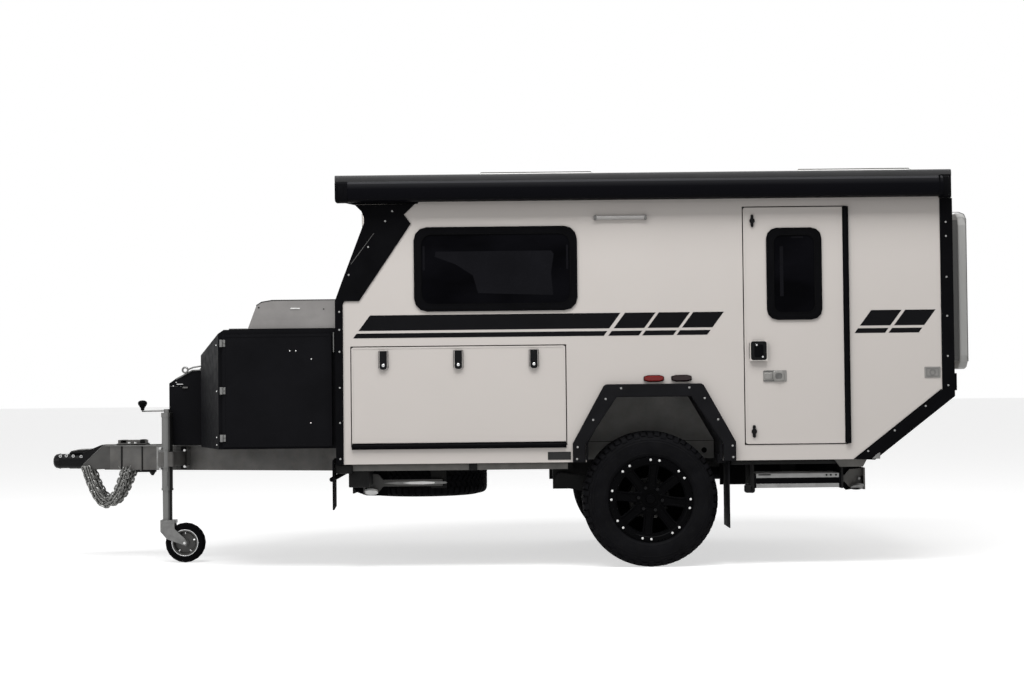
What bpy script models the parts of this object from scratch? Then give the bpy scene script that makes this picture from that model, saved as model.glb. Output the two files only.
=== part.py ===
"""Off-road hybrid camper trailer, parked on its jockey wheel.

Metres, +Z up, the ground at Z 0. The coupling points to -X and the door side is -Y.
"""

import math

import bmesh
import bpy
from mathutils import Matrix, Vector

# Clearances
GAP = 0.0003  # between pieces that touch
DOOR_GAP = 0.006  # round a door or hatch in its opening
FLAT = 1e-4  # how close two points are when they are one

# Wheels
AXLE_X = 0.8925
TYRE_RADIUS = 0.395
TYRE_WIDTH = 0.265
BEAD_RADIUS = 0.2163
FLANGE_RADIUS = 0.2375
RIM_WALL = 0.007
SPOKES = 8
SPOKE_WIDTH = 0.062
SPOKE_TURN = math.radians(5.5)  # how far the first spoke leans from upright
WINDOW_INNER = 0.095
WINDOW_OUTER = 0.198
CLAMP_RING_INNER = 0.203
CLAMP_RING_FACE = 0.128
STUB_RADIUS = 0.025
ROUND_SIDES = 20
WHEEL_SIDES = 24
SMALL_SIDES = 12

# Cabin
BODY_FRONT_X = AXLE_X - 1.820
BODY_REAR_X = AXLE_X + 1.766
BODY_HALF = 0.980
WALL = 0.040
WALL_LOW_Z = 0.617
WALL_TOP_Z = 2.130
ROOF_DEPTH = 0.165
ROOF_TOP_Z = WALL_TOP_Z + ROOF_DEPTH
ROOF_SKIN = 0.030
CANVAS_LAP = 0.070
REAR_CUT_X = AXLE_X + 1.298
REAR_CUT_Z = 0.980
RAKE_LOW_Z = 1.566
RAKE_BACK = 0.173
FLOOR_THICK = 0.030

TYRE_FACE_Y = BODY_HALF - 0.010

# Chassis
RAIL_Y = 0.500
RAIL_WIDTH = 0.050
RAIL_TOP_Z = 0.710
RAIL_DEPTH = 0.150
RAIL_LOW_Z = RAIL_TOP_Z - RAIL_DEPTH
TOWER_LOW_Z = RAIL_TOP_Z - 0.022
NOSE_PLATE = 0.008
CHASSIS_FRONT_X = AXLE_X - 1.790
CHASSIS_REAR_X = AXLE_X + 1.215
NOSE_X = AXLE_X - 3.380
CROSS_DEPTH = 0.080
CROSS_WIDTH = 0.060

# Openings in the cabin walls
DOOR_FRONT_X = AXLE_X + 0.554
DOOR_AXIS_X = AXLE_X + 1.1465
DOOR_LOW_Z = 0.711
DOOR_TOP_Z = WALL_TOP_Z - 0.043
DOOR_RADIUS = 0.012
HATCH_FRONT_X = AXLE_X - 1.733
HATCH_REAR_X = AXLE_X - 0.489
HATCH_AXIS_Z = 0.721
HATCH_TOP_Z = 1.296
BOOT_FRONT_X = AXLE_X - 1.650
BOOT_REAR_X = AXLE_X - 0.900
BOOT_LOW_Z = 0.790
BOOT_AXIS_Z = 1.252
DOOR_PROUD = 0.003
DOOR_THICK = 0.038
HINGE_OUT = 0.009
HINGE_RADIUS = 0.0087
HINGE_LEAF = 0.018
LEAF_START = 0.0048

# Windows: centre x, centre z, width, height, corner radius
WINDOW_X = AXLE_X - 0.8895
WINDOW_Z = 1.746
WINDOW_WIDTH = 0.951
WINDOW_HEIGHT = 0.492
WINDOW_RADIUS = 0.076
DOOR_WINDOW_X = AXLE_X + 0.847
DOOR_WINDOW_Z = DOOR_TOP_Z - 0.3885
DOOR_WINDOW_WIDTH = 0.322
DOOR_WINDOW_HEIGHT = 0.537
DOOR_WINDOW_RADIUS = 0.062
FRAME_LIP = 0.014
FRAME_PROUD = 0.008
FRAME_BAND = 0.040

# Wheel arches
ARCH_X = AXLE_X + 0.025
ARCH_HALF_LOW = 0.397
ARCH_HALF_TOP = 0.242
ARCH_SLANT_Z = 0.733
ARCH_TOP_Z = 1.004
ARCH_BAND = 0.072
ARCH_PROUD = 0.035
LINER_WALL = 0.012
LINER_INNER_Y = BODY_HALF - 0.320
MUDFLAP_LOW_Z = 0.225

# Front toolbox, top box and locker
BOX_REAR_X = AXLE_X - 1.8265
BOX_SIDE_Y = BODY_HALF - 0.075
BOX_CHAMFER_X = AXLE_X - 2.520
BOX_FRONT_X = AXLE_X - 2.700
BOX_FRONT_Y = BOX_SIDE_Y - 0.455
BOX_LOW_Z = RAIL_TOP_Z + GAP
BOX_TOP_Z = 1.410
BOX_SLOPE_Z = 1.267
BOX_WALL = 0.020
BOX_DOOR_REAR_X = AXLE_X - 1.852
BOX_DOOR_AXIS_X = AXLE_X - 2.4965
BOX_DOOR_TOP_Z = 1.380
BOX_DOOR_LOW_Z = 0.722
BOX_DOOR_THICK = 0.0245
BOX_HINGE_LENGTH = 0.042
TOP_BOX_FRONT_X = AXLE_X - 2.355
TOP_BOX_TOP_Z = 1.585
TOP_BOX_HALF = BOX_SIDE_Y - 0.055
LOCKER_FRONT_X = AXLE_X - 2.922
LOCKER_HALF = 0.300
LOCKER_RIM_Z = 1.080
LOCKER_TOP_Z = 1.185
LOCKER_WALL = 0.012

# Coupling and jockey wheel
COUPLING_X = AXLE_X - 3.711
COUPLING_Z = 0.615
COUPLING_RADIUS = 0.050
COUPLING_LENGTH = 0.196
NOSE_HALF = 0.055
WEDGE_HALF = 0.062
CHAIN_FRONT_X = AXLE_X - 3.500
CHAIN_REAR_X = AXLE_X - 3.240
CHAIN_END_Z = 0.590
CHAIN_SAG = 0.250
CHAIN_RADIUS = 0.011
SHACKLE = 0.018
JOCKEY_X = AXLE_X - 2.928
JOCKEY_Y = -0.345
JOCKEY_TUBE = 0.0335
JOCKEY_ROD = 0.0295
JOCKEY_BORE = JOCKEY_ROD + 0.0007
JOCKEY_CLAMP_LOW_Z = 0.590
JOCKEY_CLAMP_TOP_Z = 0.680
JOCKEY_ARM = 0.1505
JOCKEY_ARM_Z = 0.930
JOCKEY_TUBE_LOW_Z = 0.443
JOCKEY_TUBE_TOP_Z = 0.900
JOCKEY_ROD_LOW_Z = 0.262
JOCKEY_ROD_TOP_Z = 0.700
JOCKEY_WHEEL_RADIUS = 0.1215
JOCKEY_WHEEL_WIDTH = 0.060
JOCKEY_TRAIL = 0.110

# Below the floor
SPARE_X = AXLE_X - 1.360
SPARE_LOW_Z = 0.385
SPARE_CARRIER_Z = 0.680
ARM_PIVOT_X = AXLE_X - 0.500
ARM_PIVOT_Z = 0.500
ARM_Y = 0.570
ARM_THICK = 0.055
SPRING_X = AXLE_X - 0.130
SPRING_Y = 0.594
SPRING_RADIUS = 0.044
SPRING_WIRE = 0.0065
LEG_Y = 0.600
LEG_TUBE = 0.040
LEG_PIVOT_Z = 0.487
LEG_FRONT_X = AXLE_X - 1.250
LEG_REAR_X = AXLE_X + 0.858
LEG_LENGTH = 0.440
LEG_FOOT = 0.065  # half the foot plate
LEG_GUSSET = 0.115
STEP_FRONT_X = AXLE_X + 0.605
STEP_REAR_X = AXLE_X + 1.113
STEP_LOW_Z = 0.4525
STEP_TOP_Z = 0.535
STEP_TREAD = 0.024
STEP_SIDE = 0.012
STEP_FACE_Y = BODY_HALF - 0.050
STEP_DEPTH = 0.255
STEP_RUNNER = 0.010
TANK_FRONT_X = AXLE_X + 0.400
TANK_REAR_X = AXLE_X + 0.950

# Roof
ROOF_HATCH_LENGTH = 0.730
ROOF_HATCH_WIDTH = 0.600
ROOF_HATCH_HEIGHT = 0.0947
ROOF_HATCH_FRONT_X = AXLE_X - 1.005
ROOF_HATCH_REAR_X = AXLE_X + 0.970
AWNING_FRONT_X = AXLE_X - 1.813
AWNING_REAR_X = AXLE_X + 1.739
AWNING_LOW_Z = ROOF_TOP_Z - 0.158
AWNING_TOP_Z = ROOF_TOP_Z - 0.038
AWNING_DEPTH = 0.095
AWNING_CAP = 0.030
AWNING_CAP_PROUD = 0.003
POD_HALF = BODY_HALF - 0.280
POD_LOW_Z = 1.135
POD_TOP_Z = 2.075
POD_BASE_DEPTH = 0.107
POD_SHELL_DEPTH = 0.053
POD_INSET = 0.045

NEAR = Matrix.Rotation(math.pi / 2, 4, "X")
FAR = Matrix.Rotation(-math.pi / 2, 4, "X")
PLANES = {
    "XY": Matrix.Identity(4),
    "XZ": Matrix.Rotation(math.pi / 2, 4, "X"),
    "YZ": Matrix.Rotation(math.pi / 2, 4, "Z") @ Matrix.Rotation(math.pi / 2, 4, "X"),
}


def clear_scene():
    for obj in list(bpy.data.objects):
        bpy.data.objects.remove(obj, do_unlink=True)


def new_collection(name):
    group = bpy.data.collections.new(name)
    bpy.context.scene.collection.children.link(group)
    return group


def new_material(name, colour, roughness, metallic=0.0):
    material = bpy.data.materials.new(name)
    material.use_nodes = True
    shader = material.node_tree.nodes["Principled BSDF"]
    shader.inputs["Base Color"].default_value = (*colour, 1)
    shader.inputs["Roughness"].default_value = roughness
    shader.inputs["Metallic"].default_value = metallic
    return material


clear_scene()
PARTS = new_collection("camper_trailer")
CUTTERS = new_collection("cutters")
BODY_WHITE = new_material("body_white", (0.76, 0.75, 0.73), 0.35)
TRIM_BLACK = new_material("trim_black", (0.02, 0.02, 0.022), 0.45)
BOX_BLACK = new_material("box_black", (0.03, 0.03, 0.033), 0.5)
GALVANISED = new_material("galvanised", (0.45, 0.46, 0.47), 0.45, 0.9)
CHASSIS_GREY = new_material("chassis_grey", (0.22, 0.22, 0.23), 0.5, 0.6)
ALUMINIUM = new_material("aluminium", (0.6, 0.6, 0.6), 0.4, 0.9)
RUBBER = new_material("rubber", (0.025, 0.025, 0.026), 0.85)
GLASS = new_material("dark_glass", (0.01, 0.01, 0.013), 0.08)
LAMP_RED = new_material("lamp_red", (0.35, 0.02, 0.03), 0.2)
CANVAS = new_material("canvas", (0.35, 0.35, 0.34), 0.9)
WOOD = new_material("bed_board", (0.5, 0.4, 0.3), 0.6)


def add_mesh(name, mesh, material):
    mesh.materials.clear()
    mesh.materials.append(material)
    piece = bpy.data.objects.new(name, mesh)
    PARTS.objects.link(piece)
    return piece


def from_bmesh(name, shape, material):
    bmesh.ops.recalc_face_normals(shape, faces=shape.faces)
    mesh = bpy.data.meshes.new(name)
    shape.to_mesh(mesh)
    shape.free()
    return add_mesh(name, mesh, material)


def box(name, low, high, material=TRIM_BLACK):
    """A block between two opposite corners."""
    shape = bmesh.new()
    size = Vector(high) - Vector(low)
    centre = (Vector(high) + Vector(low)) / 2
    bmesh.ops.create_cube(shape, size=1, matrix=Matrix.Translation(centre) @ Matrix.Diagonal((*size, 1)))
    return from_bmesh(name, shape, material)


def rod(name, start, end, radius, material=TRIM_BLACK, sides=ROUND_SIDES, end_radius=None):
    """A round bar from start to end."""
    start, end = Vector(start), Vector(end)
    turn = (end - start).to_track_quat("Z", "Y").to_matrix().to_4x4()
    shape = bmesh.new()
    bmesh.ops.create_cone(
        shape,
        cap_ends=True,
        segments=sides,
        radius1=radius,
        radius2=radius if end_radius is None else end_radius,
        depth=(end - start).length,
        matrix=Matrix.Translation((start + end) / 2) @ turn,
    )
    return smooth(from_bmesh(name, shape, material))


def smooth(piece, angle=40):
    piece.data.shade_smooth()
    piece.data.set_sharp_from_angle(angle=math.radians(angle))
    return piece


def mesh_of_curve(guide):
    """The evaluated mesh of a curve object, its caps welded, in world space. The curve goes."""
    bpy.context.view_layer.update()
    mesh = bpy.data.meshes.new_from_object(guide.evaluated_get(bpy.context.evaluated_depsgraph_get()))
    shape = bmesh.new()
    shape.from_mesh(mesh)
    bmesh.ops.remove_doubles(shape, verts=shape.verts, dist=FLAT / 10)
    bmesh.ops.transform(shape, matrix=guide.matrix_world, verts=shape.verts)
    bmesh.ops.recalc_face_normals(shape, faces=shape.faces)
    shape.to_mesh(mesh)
    shape.free()
    bpy.data.objects.remove(guide, do_unlink=True)
    return mesh


def plate(name, loops, plane, low, high, material=TRIM_BLACK):
    """Flat outlines, the inner ones holes, extruded across their plane from low to high."""
    curve = bpy.data.curves.new(name, "CURVE")
    curve.dimensions = "2D"
    curve.fill_mode = "BOTH"
    curve.extrude = (high - low) / 2
    for loop in loops:
        spline = curve.splines.new("POLY")
        spline.points.add(len(loop) - 1)
        for point, (u, v) in zip(spline.points, loop):
            point.co = (u, v, 0, 1)
        spline.use_cyclic_u = True
    guide = bpy.data.objects.new(name, curve)
    PARTS.objects.link(guide)
    across = Vector(abs(part) for part in PLANES[plane].col[2].xyz)
    guide.matrix_world = Matrix.Translation(across * (low + high) / 2) @ PLANES[plane]
    mesh = mesh_of_curve(guide)
    mesh.name = name
    return add_mesh(name, mesh, material)


def tube(name, points, radius, material=TRIM_BLACK, sides=2, cyclic=False):
    """A round bar along a list of points."""
    curve = bpy.data.curves.new(name, "CURVE")
    curve.dimensions = "3D"
    curve.bevel_depth = radius
    curve.bevel_resolution = sides
    curve.use_fill_caps = not cyclic
    spline = curve.splines.new("POLY")
    spline.points.add(len(points) - 1)
    for point, place in zip(spline.points, points):
        point.co = (*place, 1)
    spline.use_cyclic_u = cyclic
    guide = bpy.data.objects.new(name, curve)
    PARTS.objects.link(guide)
    mesh = mesh_of_curve(guide)
    mesh.name = name
    return smooth(add_mesh(name, mesh, material))


def turned(name, profile, material, steps):
    """A closed profile of (radius, height) points, turned about local Z. It runs down its outer side."""
    shape = bmesh.new()
    ring = [shape.verts.new((radius, 0, height)) for radius, height in profile]
    for start, end in zip(ring, ring[1:] + ring[:1]):
        shape.edges.new((start, end))
    mesh = bpy.data.meshes.new(name)
    shape.to_mesh(mesh)
    shape.free()
    piece = add_mesh(name, mesh, material)
    screw = piece.modifiers.new("turn", "SCREW")
    screw.axis = "Z"
    screw.angle = math.tau
    screw.steps = steps
    screw.render_steps = steps
    screw.use_merge_vertices = True
    screw.merge_threshold = FLAT
    screw.use_smooth_shade = True
    return piece


def hide_cutter(cutter):
    PARTS.objects.unlink(cutter)
    CUTTERS.objects.link(cutter)
    cutter.hide_render = True
    cutter.display_type = "WIRE"


def combine(piece, others, operation):
    for other in others:
        hide_cutter(other)
        change = piece.modifiers.new(other.name, "BOOLEAN")
        change.operation = operation
        change.solver = "EXACT"
        change.object = other
    return piece


def cut(piece, *cutters):
    return combine(piece, cutters, "DIFFERENCE")


def join(piece, *others):
    return combine(piece, others, "UNION")


def bevel(piece, width, segments=2, angle=50):
    change = piece.modifiers.new("bevel", "BEVEL")
    change.width = width
    change.segments = segments
    change.limit_method = "ANGLE"
    change.angle_limit = math.radians(angle)
    return piece


def set_origin(piece, point):
    """Moves the object's origin to a point and leaves its shape where it is."""
    piece.data.transform(Matrix.Translation(-Vector(point)))
    piece.location = point
    return piece


def rounded(corners, steps=4):
    """A closed outline of (u, v, radius) corners, each round one made of steps chords."""
    outline = []
    for index, (u, v, radius) in enumerate(corners):
        here = Vector((u, v))
        back = Vector(corners[index - 1][:2]) - here
        ahead = Vector(corners[(index + 1) % len(corners)][:2]) - here
        if not radius:
            outline.append(tuple(here))
            continue
        half = back.angle(ahead) / 2
        reach = radius / math.tan(half)
        middle = here + (back.normalized() + ahead.normalized()).normalized() * radius / math.sin(half)
        first = here + back.normalized() * reach - middle
        last = here + ahead.normalized() * reach - middle
        sweep = first.angle_signed(last)
        for step in range(steps + 1):
            turn = Matrix.Rotation(-sweep * step / steps, 2)
            outline.append(tuple(middle + turn @ first))
    return outline


def round_rect(u, v, width, height, radius, steps=3):
    """A rectangle about a centre, with round corners."""
    left, right = u - width / 2, u + width / 2
    low, top = v - height / 2, v + height / 2
    corners = [(left, low), (right, low), (right, top), (left, top)]
    return rounded([(*corner, radius) for corner in corners], steps)


def rect(left, low, right, top):
    return [(left, low), (right, low), (right, top), (left, top)]


def circle(u, v, radius, sides=ROUND_SIDES):
    turns = [math.tau * step / sides for step in range(sides)]
    return [(u + radius * math.cos(turn), v + radius * math.sin(turn)) for turn in turns]


def offset_line(points, distance):
    """An open line moved to its left by a distance, its corners mitred."""
    lines = [Vector(point) for point in points]
    normals = []
    for start, end in zip(lines, lines[1:]):
        along = (end - start).normalized()
        normals.append(Vector((-along.y, along.x)))
    moved = [lines[0] + normals[0] * distance]
    for point, before, after in zip(lines[1:-1], normals, normals[1:]):
        middle = (before + after).normalized()
        moved.append(point + middle * distance / middle.dot(before))
    moved.append(lines[-1] + normals[-1] * distance)
    return [tuple(point) for point in moved]


def front_line(foot=WALL_LOW_Z):
    """The side view of the front wall's outer face, bottom to top."""
    return [
        (BODY_FRONT_X, foot),
        (BODY_FRONT_X, RAKE_LOW_Z),
        (BODY_FRONT_X + 0.039, RAKE_LOW_Z + 0.106),
        (BODY_FRONT_X + RAKE_BACK, 2.020),
    ]


def brow_line():
    """The hollow curve that leads from the raked front up to the roof."""
    return [
        (BODY_FRONT_X + RAKE_BACK, 2.055),
        (BODY_FRONT_X + 0.158, 2.092),
        (BODY_FRONT_X + 0.120, WALL_TOP_Z),
    ]


def rear_line():
    """The side view of the rear wall's outer face, top to bottom, with the departure cut."""
    return [(BODY_REAR_X, WALL_TOP_Z), (BODY_REAR_X, REAR_CUT_Z), (REAR_CUT_X, WALL_LOW_Z)]


def arch_line(margin, foot=WALL_LOW_Z):
    """The wheel arch opening, rear foot to front foot, grown by a margin."""
    base = [
        (ARCH_X + ARCH_HALF_LOW, foot),
        (ARCH_X + ARCH_HALF_LOW, ARCH_SLANT_Z),
        (ARCH_X + ARCH_HALF_TOP, ARCH_TOP_Z),
        (ARCH_X - ARCH_HALF_TOP, ARCH_TOP_Z),
        (ARCH_X - ARCH_HALF_LOW, ARCH_SLANT_Z),
        (ARCH_X - ARCH_HALF_LOW, foot),
    ]
    return offset_line(base, -margin)


def sides():
    """Each side's name and its sign along Y."""
    return (("left", -1), ("right", 1))


def span(side, inner, outer):
    """The low and high Y between two distances from the centreline, on one side."""
    return (inner, outer) if side > 0 else (-outer, -inner)


def step_runners():
    """Where the two runners of the step stand, front and rear."""
    clear = STEP_RUNNER / 2 + GAP
    return (STEP_FRONT_X - clear, STEP_REAR_X + clear)


def make_drawbar():
    """The A-frame with its nose wedge and the front cross member that the rails butt against."""
    outer = RAIL_Y + RAIL_WIDTH / 2
    inner = RAIL_Y - RAIL_WIDTH / 2
    back = CHASSIS_FRONT_X + CROSS_WIDTH / 2
    slope = (outer - NOSE_HALF) / (CHASSIS_FRONT_X - NOSE_X)
    bay_front = NOSE_X + 0.260
    bay_half = drawbar_half(bay_front) - RAIL_WIDTH * 1.05
    outline = [
        (NOSE_X, -NOSE_HALF),
        (CHASSIS_FRONT_X, -outer),
        (back, -outer),
        (back, outer),
        (CHASSIS_FRONT_X, outer),
        (NOSE_X, NOSE_HALF),
    ]
    bay_rear = CHASSIS_FRONT_X - CROSS_WIDTH / 2
    bay_rear_half = inner - slope * CROSS_WIDTH / 2
    bay = [
        (bay_front, -bay_half),
        (bay_rear, -bay_rear_half),
        (bay_rear, bay_rear_half),
        (bay_front, bay_half),
    ]
    drawbar = plate("drawbar", [outline, bay], "XY", RAIL_LOW_Z, RAIL_TOP_Z, CHASSIS_GREY)
    nose_front = COUPLING_X + COUPLING_LENGTH + GAP
    nose_top = RAIL_TOP_Z + NOSE_PLATE
    nose_side = [
        (nose_front, COUPLING_Z - 0.055),
        (nose_front, COUPLING_Z + 0.055),
        (nose_front + 0.120, nose_top),
        (nose_front + 0.400, nose_top),
        (nose_front + 0.400, RAIL_TOP_Z - 0.020),
        (nose_front + 0.170, RAIL_TOP_Z - 0.030),
        (nose_front + 0.170, COUPLING_Z - 0.050),
    ]
    wedge = plate("nose_wedge", [nose_side], "XZ", -WEDGE_HALF, WEDGE_HALF)
    brake_low = (NOSE_X + 0.080, -0.030, nose_top - 0.002)
    brake = box("brake_lever", brake_low, (NOSE_X + 0.260, 0.030, nose_top + 0.027))
    return join(drawbar, wedge, brake)


def cross_members():
    """The cross members between the rails, as blocks on the left rail that end at the right one."""
    inner = RAIL_Y - RAIL_WIDTH / 2
    near, far = -inner - 0.010, inner - GAP
    top = RAIL_TOP_Z - 0.010
    members = []
    for index, x in enumerate((AXLE_X - 0.860, ARM_PIVOT_X, AXLE_X + 0.330, AXLE_X + 1.010)):
        low = (x - CROSS_WIDTH / 2, near, top - CROSS_DEPTH)
        members.append(box(f"cross_member_{index}", low, (x + CROSS_WIDTH / 2, far, top)))
    low = (SPARE_X - 0.060, near, SPARE_CARRIER_Z)
    members.append(box("spare_carrier", low, (SPARE_X + 0.060, far, RAIL_TOP_Z - 0.002)))
    low = (CHASSIS_REAR_X - CROSS_WIDTH, near, RAIL_LOW_Z + 0.002)
    members.append(box("rear_member", low, (CHASSIS_REAR_X - 0.002, far, RAIL_TOP_Z - 0.002)))
    return members


def rail_brackets(label, side):
    """The outriggers, towers, hangers and leg brackets of one rail, as blocks that reach into it."""
    outer = RAIL_Y + RAIL_WIDTH / 2
    root = outer - 0.010
    places = []
    for index, x in enumerate((AXLE_X - 1.500, AXLE_X - 0.700, *step_runners())):
        reach = BODY_HALF - WALL - 0.006
        places.append((f"outrigger_{index}", x, 0.006, reach, WALL_LOW_Z + 0.013, RAIL_TOP_Z - 0.001))
    for place, x in (("front", LEG_FRONT_X), ("rear", LEG_REAR_X)):
        reach = LEG_Y - LEG_TUBE / 2 - GAP
        places.append((f"leg_bracket_{place}", x, 0.045, reach, LEG_PIVOT_Z - 0.035, RAIL_LOW_Z + 0.050))
    reach = ARM_Y + ARM_THICK + 0.012
    places.append(("spring_tower", SPRING_X, 0.060, reach, TOWER_LOW_Z, RAIL_TOP_Z - 0.002))
    places.append(("arm_hanger", ARM_PIVOT_X, 0.060, ARM_Y - GAP, ARM_PIVOT_Z - 0.060, RAIL_LOW_Z + 0.040))
    brackets = []
    for name, x, half, reach, low, high in places:
        y_low, y_high = span(side, root, reach)
        brackets.append(box(f"{name}_{label}", (x - half, y_low, low), (x + half, y_high, high)))
    return brackets


def make_rails():
    """The two main rails behind the A-frame, the left one with the cross members."""
    front = CHASSIS_FRONT_X + CROSS_WIDTH / 2 + GAP
    half = RAIL_WIDTH / 2
    for label, side in sides():
        y_low, y_high = span(side, RAIL_Y - half, RAIL_Y + half)
        low = (front, y_low, RAIL_LOW_Z)
        rail = box(f"chassis_rail_{label}", low, (CHASSIS_REAR_X, y_high, RAIL_TOP_Z), CHASSIS_GREY)
        join(rail, *rail_brackets(label, side))
        if side < 0:
            join(rail, *cross_members(), *runner_blocks())


def runner_blocks():
    """The two runners that the entry step slides in."""
    runners = []
    for place, x in zip(("front", "rear"), step_runners()):
        half = STEP_RUNNER / 2
        low = (x - half, -BODY_HALF + 0.045, STEP_LOW_Z - 0.006)
        high = (x + half, -STEP_FACE_Y + STEP_DEPTH, WALL_LOW_Z + 0.030)
        runners.append(box(f"step_runner_{place}", low, high))
    return runners


def make_coupling():
    """The articulated head on the nose, with its lever."""
    end = COUPLING_X + COUPLING_LENGTH
    grip_x, grip_z = COUPLING_X + 0.070, COUPLING_Z + 0.110
    head = rod("coupling", (COUPLING_X, 0, COUPLING_Z), (end, 0, COUPLING_Z), COUPLING_RADIUS)
    lever_low = (COUPLING_X + 0.055, -0.022, COUPLING_Z + 0.035)
    lever = box("coupling_lever", lever_low, (end - 0.080, 0.022, grip_z + 0.010))
    grip = rod("coupling_grip", (grip_x, -0.060, grip_z), (grip_x, 0.060, grip_z), 0.012)
    return join(head, lever, grip)


def drawbar_half(x):
    """Half the A-frame's width at a place along it."""
    outer = RAIL_Y + RAIL_WIDTH / 2
    return NOSE_HALF + (outer - NOSE_HALF) * (x - NOSE_X) / (CHASSIS_FRONT_X - NOSE_X)


def make_chains():
    """Two safety chains that hang in a loop from the drawbar's nose."""
    half = SHACKLE / 2
    front_y = WEDGE_HALF + GAP
    rear_y = drawbar_half(CHAIN_REAR_X + half) + GAP
    steps = 12
    for label, side in sides():
        points = []
        for step in range(steps + 1):
            share = step / steps
            x = CHAIN_FRONT_X + (CHAIN_REAR_X - CHAIN_FRONT_X) * share
            y = front_y + (rear_y - front_y) * share + SHACKLE * 0.75
            points.append((x, side * y, CHAIN_END_Z - CHAIN_SAG * 4 * share * (1 - share)))
        chain = tube(f"safety_chain_{label}", points, CHAIN_RADIUS, GALVANISED, sides=1)
        shackles = []
        for place, x, y in (("front", CHAIN_FRONT_X, front_y), ("rear", CHAIN_REAR_X, rear_y)):
            y_low, y_high = span(side, y, y + 0.022)
            low = (x - half, y_low, CHAIN_END_Z - 0.012)
            shackles.append(box(f"shackle_{place}_{label}", low, (x + half, y_high, CHAIN_END_Z + 0.012)))
        join(chain, *shackles)


def make_jockey():
    """The jockey wheel: clamp, outer tube with crank, sliding rod, swivelling fork and wheel."""
    foot = Vector((JOCKEY_X, JOCKEY_Y, 0))
    root = []
    for x in (JOCKEY_X + 0.095, JOCKEY_X - 0.095):
        root.append((x, -drawbar_half(x) + 0.010, 0))
    grip = [(JOCKEY_X - 0.045, JOCKEY_Y - 0.045, 0.015), (JOCKEY_X + 0.045, JOCKEY_Y - 0.045, 0.015)]
    outlines = [rounded(grip + root), circle(JOCKEY_X, JOCKEY_Y, JOCKEY_TUBE + GAP)]
    clamp = plate("jockey_clamp", outlines, "XY", JOCKEY_CLAMP_LOW_Z, JOCKEY_CLAMP_TOP_Z)
    join(bpy.data.objects["drawbar"], clamp)
    outer = turned(
        "jockey_outer_tube",
        [
            (JOCKEY_TUBE, JOCKEY_TUBE_TOP_Z),
            (JOCKEY_TUBE, JOCKEY_TUBE_LOW_Z),
            (JOCKEY_BORE, JOCKEY_TUBE_LOW_Z),
            (JOCKEY_BORE, JOCKEY_TUBE_TOP_Z),
        ],
        GALVANISED,
        ROUND_SIDES,
    )
    outer.location = foot
    up = Vector((0, 0, 1))
    cap_foot = foot + up * (JOCKEY_TUBE_TOP_Z - 0.005)
    cap = rod("jockey_cap", cap_foot, cap_foot + up * 0.025, JOCKEY_TUBE + 0.003)
    stem_top = foot + up * (JOCKEY_ARM_Z + 0.012)
    stem = rod("jockey_stem", cap_foot + up * 0.020, stem_top, 0.019, sides=SMALL_SIDES)
    elbow = foot + Vector((-JOCKEY_ARM, 0, JOCKEY_ARM_Z))
    arm_points = [foot + Vector((0.012, 0, JOCKEY_ARM_Z + 0.004)), elbow, elbow + up * 0.040]
    arm = tube("jockey_arm", arm_points, 0.007, sides=1)
    join(outer, cap, stem, arm)
    low = foot + Vector((0, 0, JOCKEY_ROD_LOW_Z))
    top = foot + Vector((0, 0, JOCKEY_ROD_TOP_Z))
    set_origin(rod("jockey_inner_tube", low, top, JOCKEY_ROD, GALVANISED), low)
    crown_low = JOCKEY_ROD_LOW_Z - GAP - 0.020
    half = JOCKEY_WHEEL_WIDTH / 2
    axle_x = JOCKEY_X + JOCKEY_TRAIL
    crown_top = crown_low + 0.020
    crown_middle = JOCKEY_X + 0.0075
    crown_outline = round_rect(crown_middle, JOCKEY_Y, 0.095, JOCKEY_WHEEL_WIDTH + 0.024, 0.010)
    crown = plate("jockey_fork", [crown_outline], "XY", crown_low, crown_top, GALVANISED)
    cheeks = []
    for label, side in sides():
        cheek = [
            (JOCKEY_X - 0.038, crown_low + 0.010),
            (JOCKEY_X + 0.046, crown_low + 0.010),
            (JOCKEY_X + 0.050, crown_low - 0.035),
            (axle_x + 0.004, JOCKEY_WHEEL_RADIUS + 0.024),
            (axle_x + 0.016, JOCKEY_WHEEL_RADIUS + 0.002),
            (axle_x + 0.008, JOCKEY_WHEEL_RADIUS - 0.018),
            (JOCKEY_X + 0.002, JOCKEY_WHEEL_RADIUS + 0.024),
            (JOCKEY_X - 0.038, crown_low - 0.050),
        ]
        y_low, y_high = sorted((JOCKEY_Y + side * (half + 0.005), JOCKEY_Y + side * (half + 0.0115)))
        cheeks.append(plate(f"fork_cheek_{label}", [cheek], "XZ", y_low, y_high))
    axle = Vector((axle_x, JOCKEY_Y, JOCKEY_WHEEL_RADIUS))
    reach = Vector((0, half + 0.016, 0))
    pin = rod("fork_pin", axle - reach, axle + reach, 0.008)
    join(crown, *cheeks, pin)
    tyre = turned(
        "jockey_tyre",
        [
            (JOCKEY_WHEEL_RADIUS - 0.012, half),
            (JOCKEY_WHEEL_RADIUS, half - 0.014),
            (JOCKEY_WHEEL_RADIUS, -half + 0.014),
            (JOCKEY_WHEEL_RADIUS - 0.012, -half),
            (0.0823, -half),
            (0.0823, half),
        ],
        RUBBER,
        ROUND_SIDES,
    )
    rim = turned(
        "jockey_rim",
        [
            (0.082, half - 0.002),
            (0.082, -half + 0.002),
            (0.070, -half + 0.002),
            (0.060, -0.008),
            (0.025, -0.012),
            (0.025, -half),
            (0.0085, -half),
            (0.0085, half),
            (0.025, half),
            (0.025, 0.012),
            (0.060, 0.008),
            (0.070, half - 0.002),
        ],
        GALVANISED,
        ROUND_SIDES,
    )
    for piece in (tyre, rim):
        piece.matrix_world = Matrix.Translation(axle) @ NEAR


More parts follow.
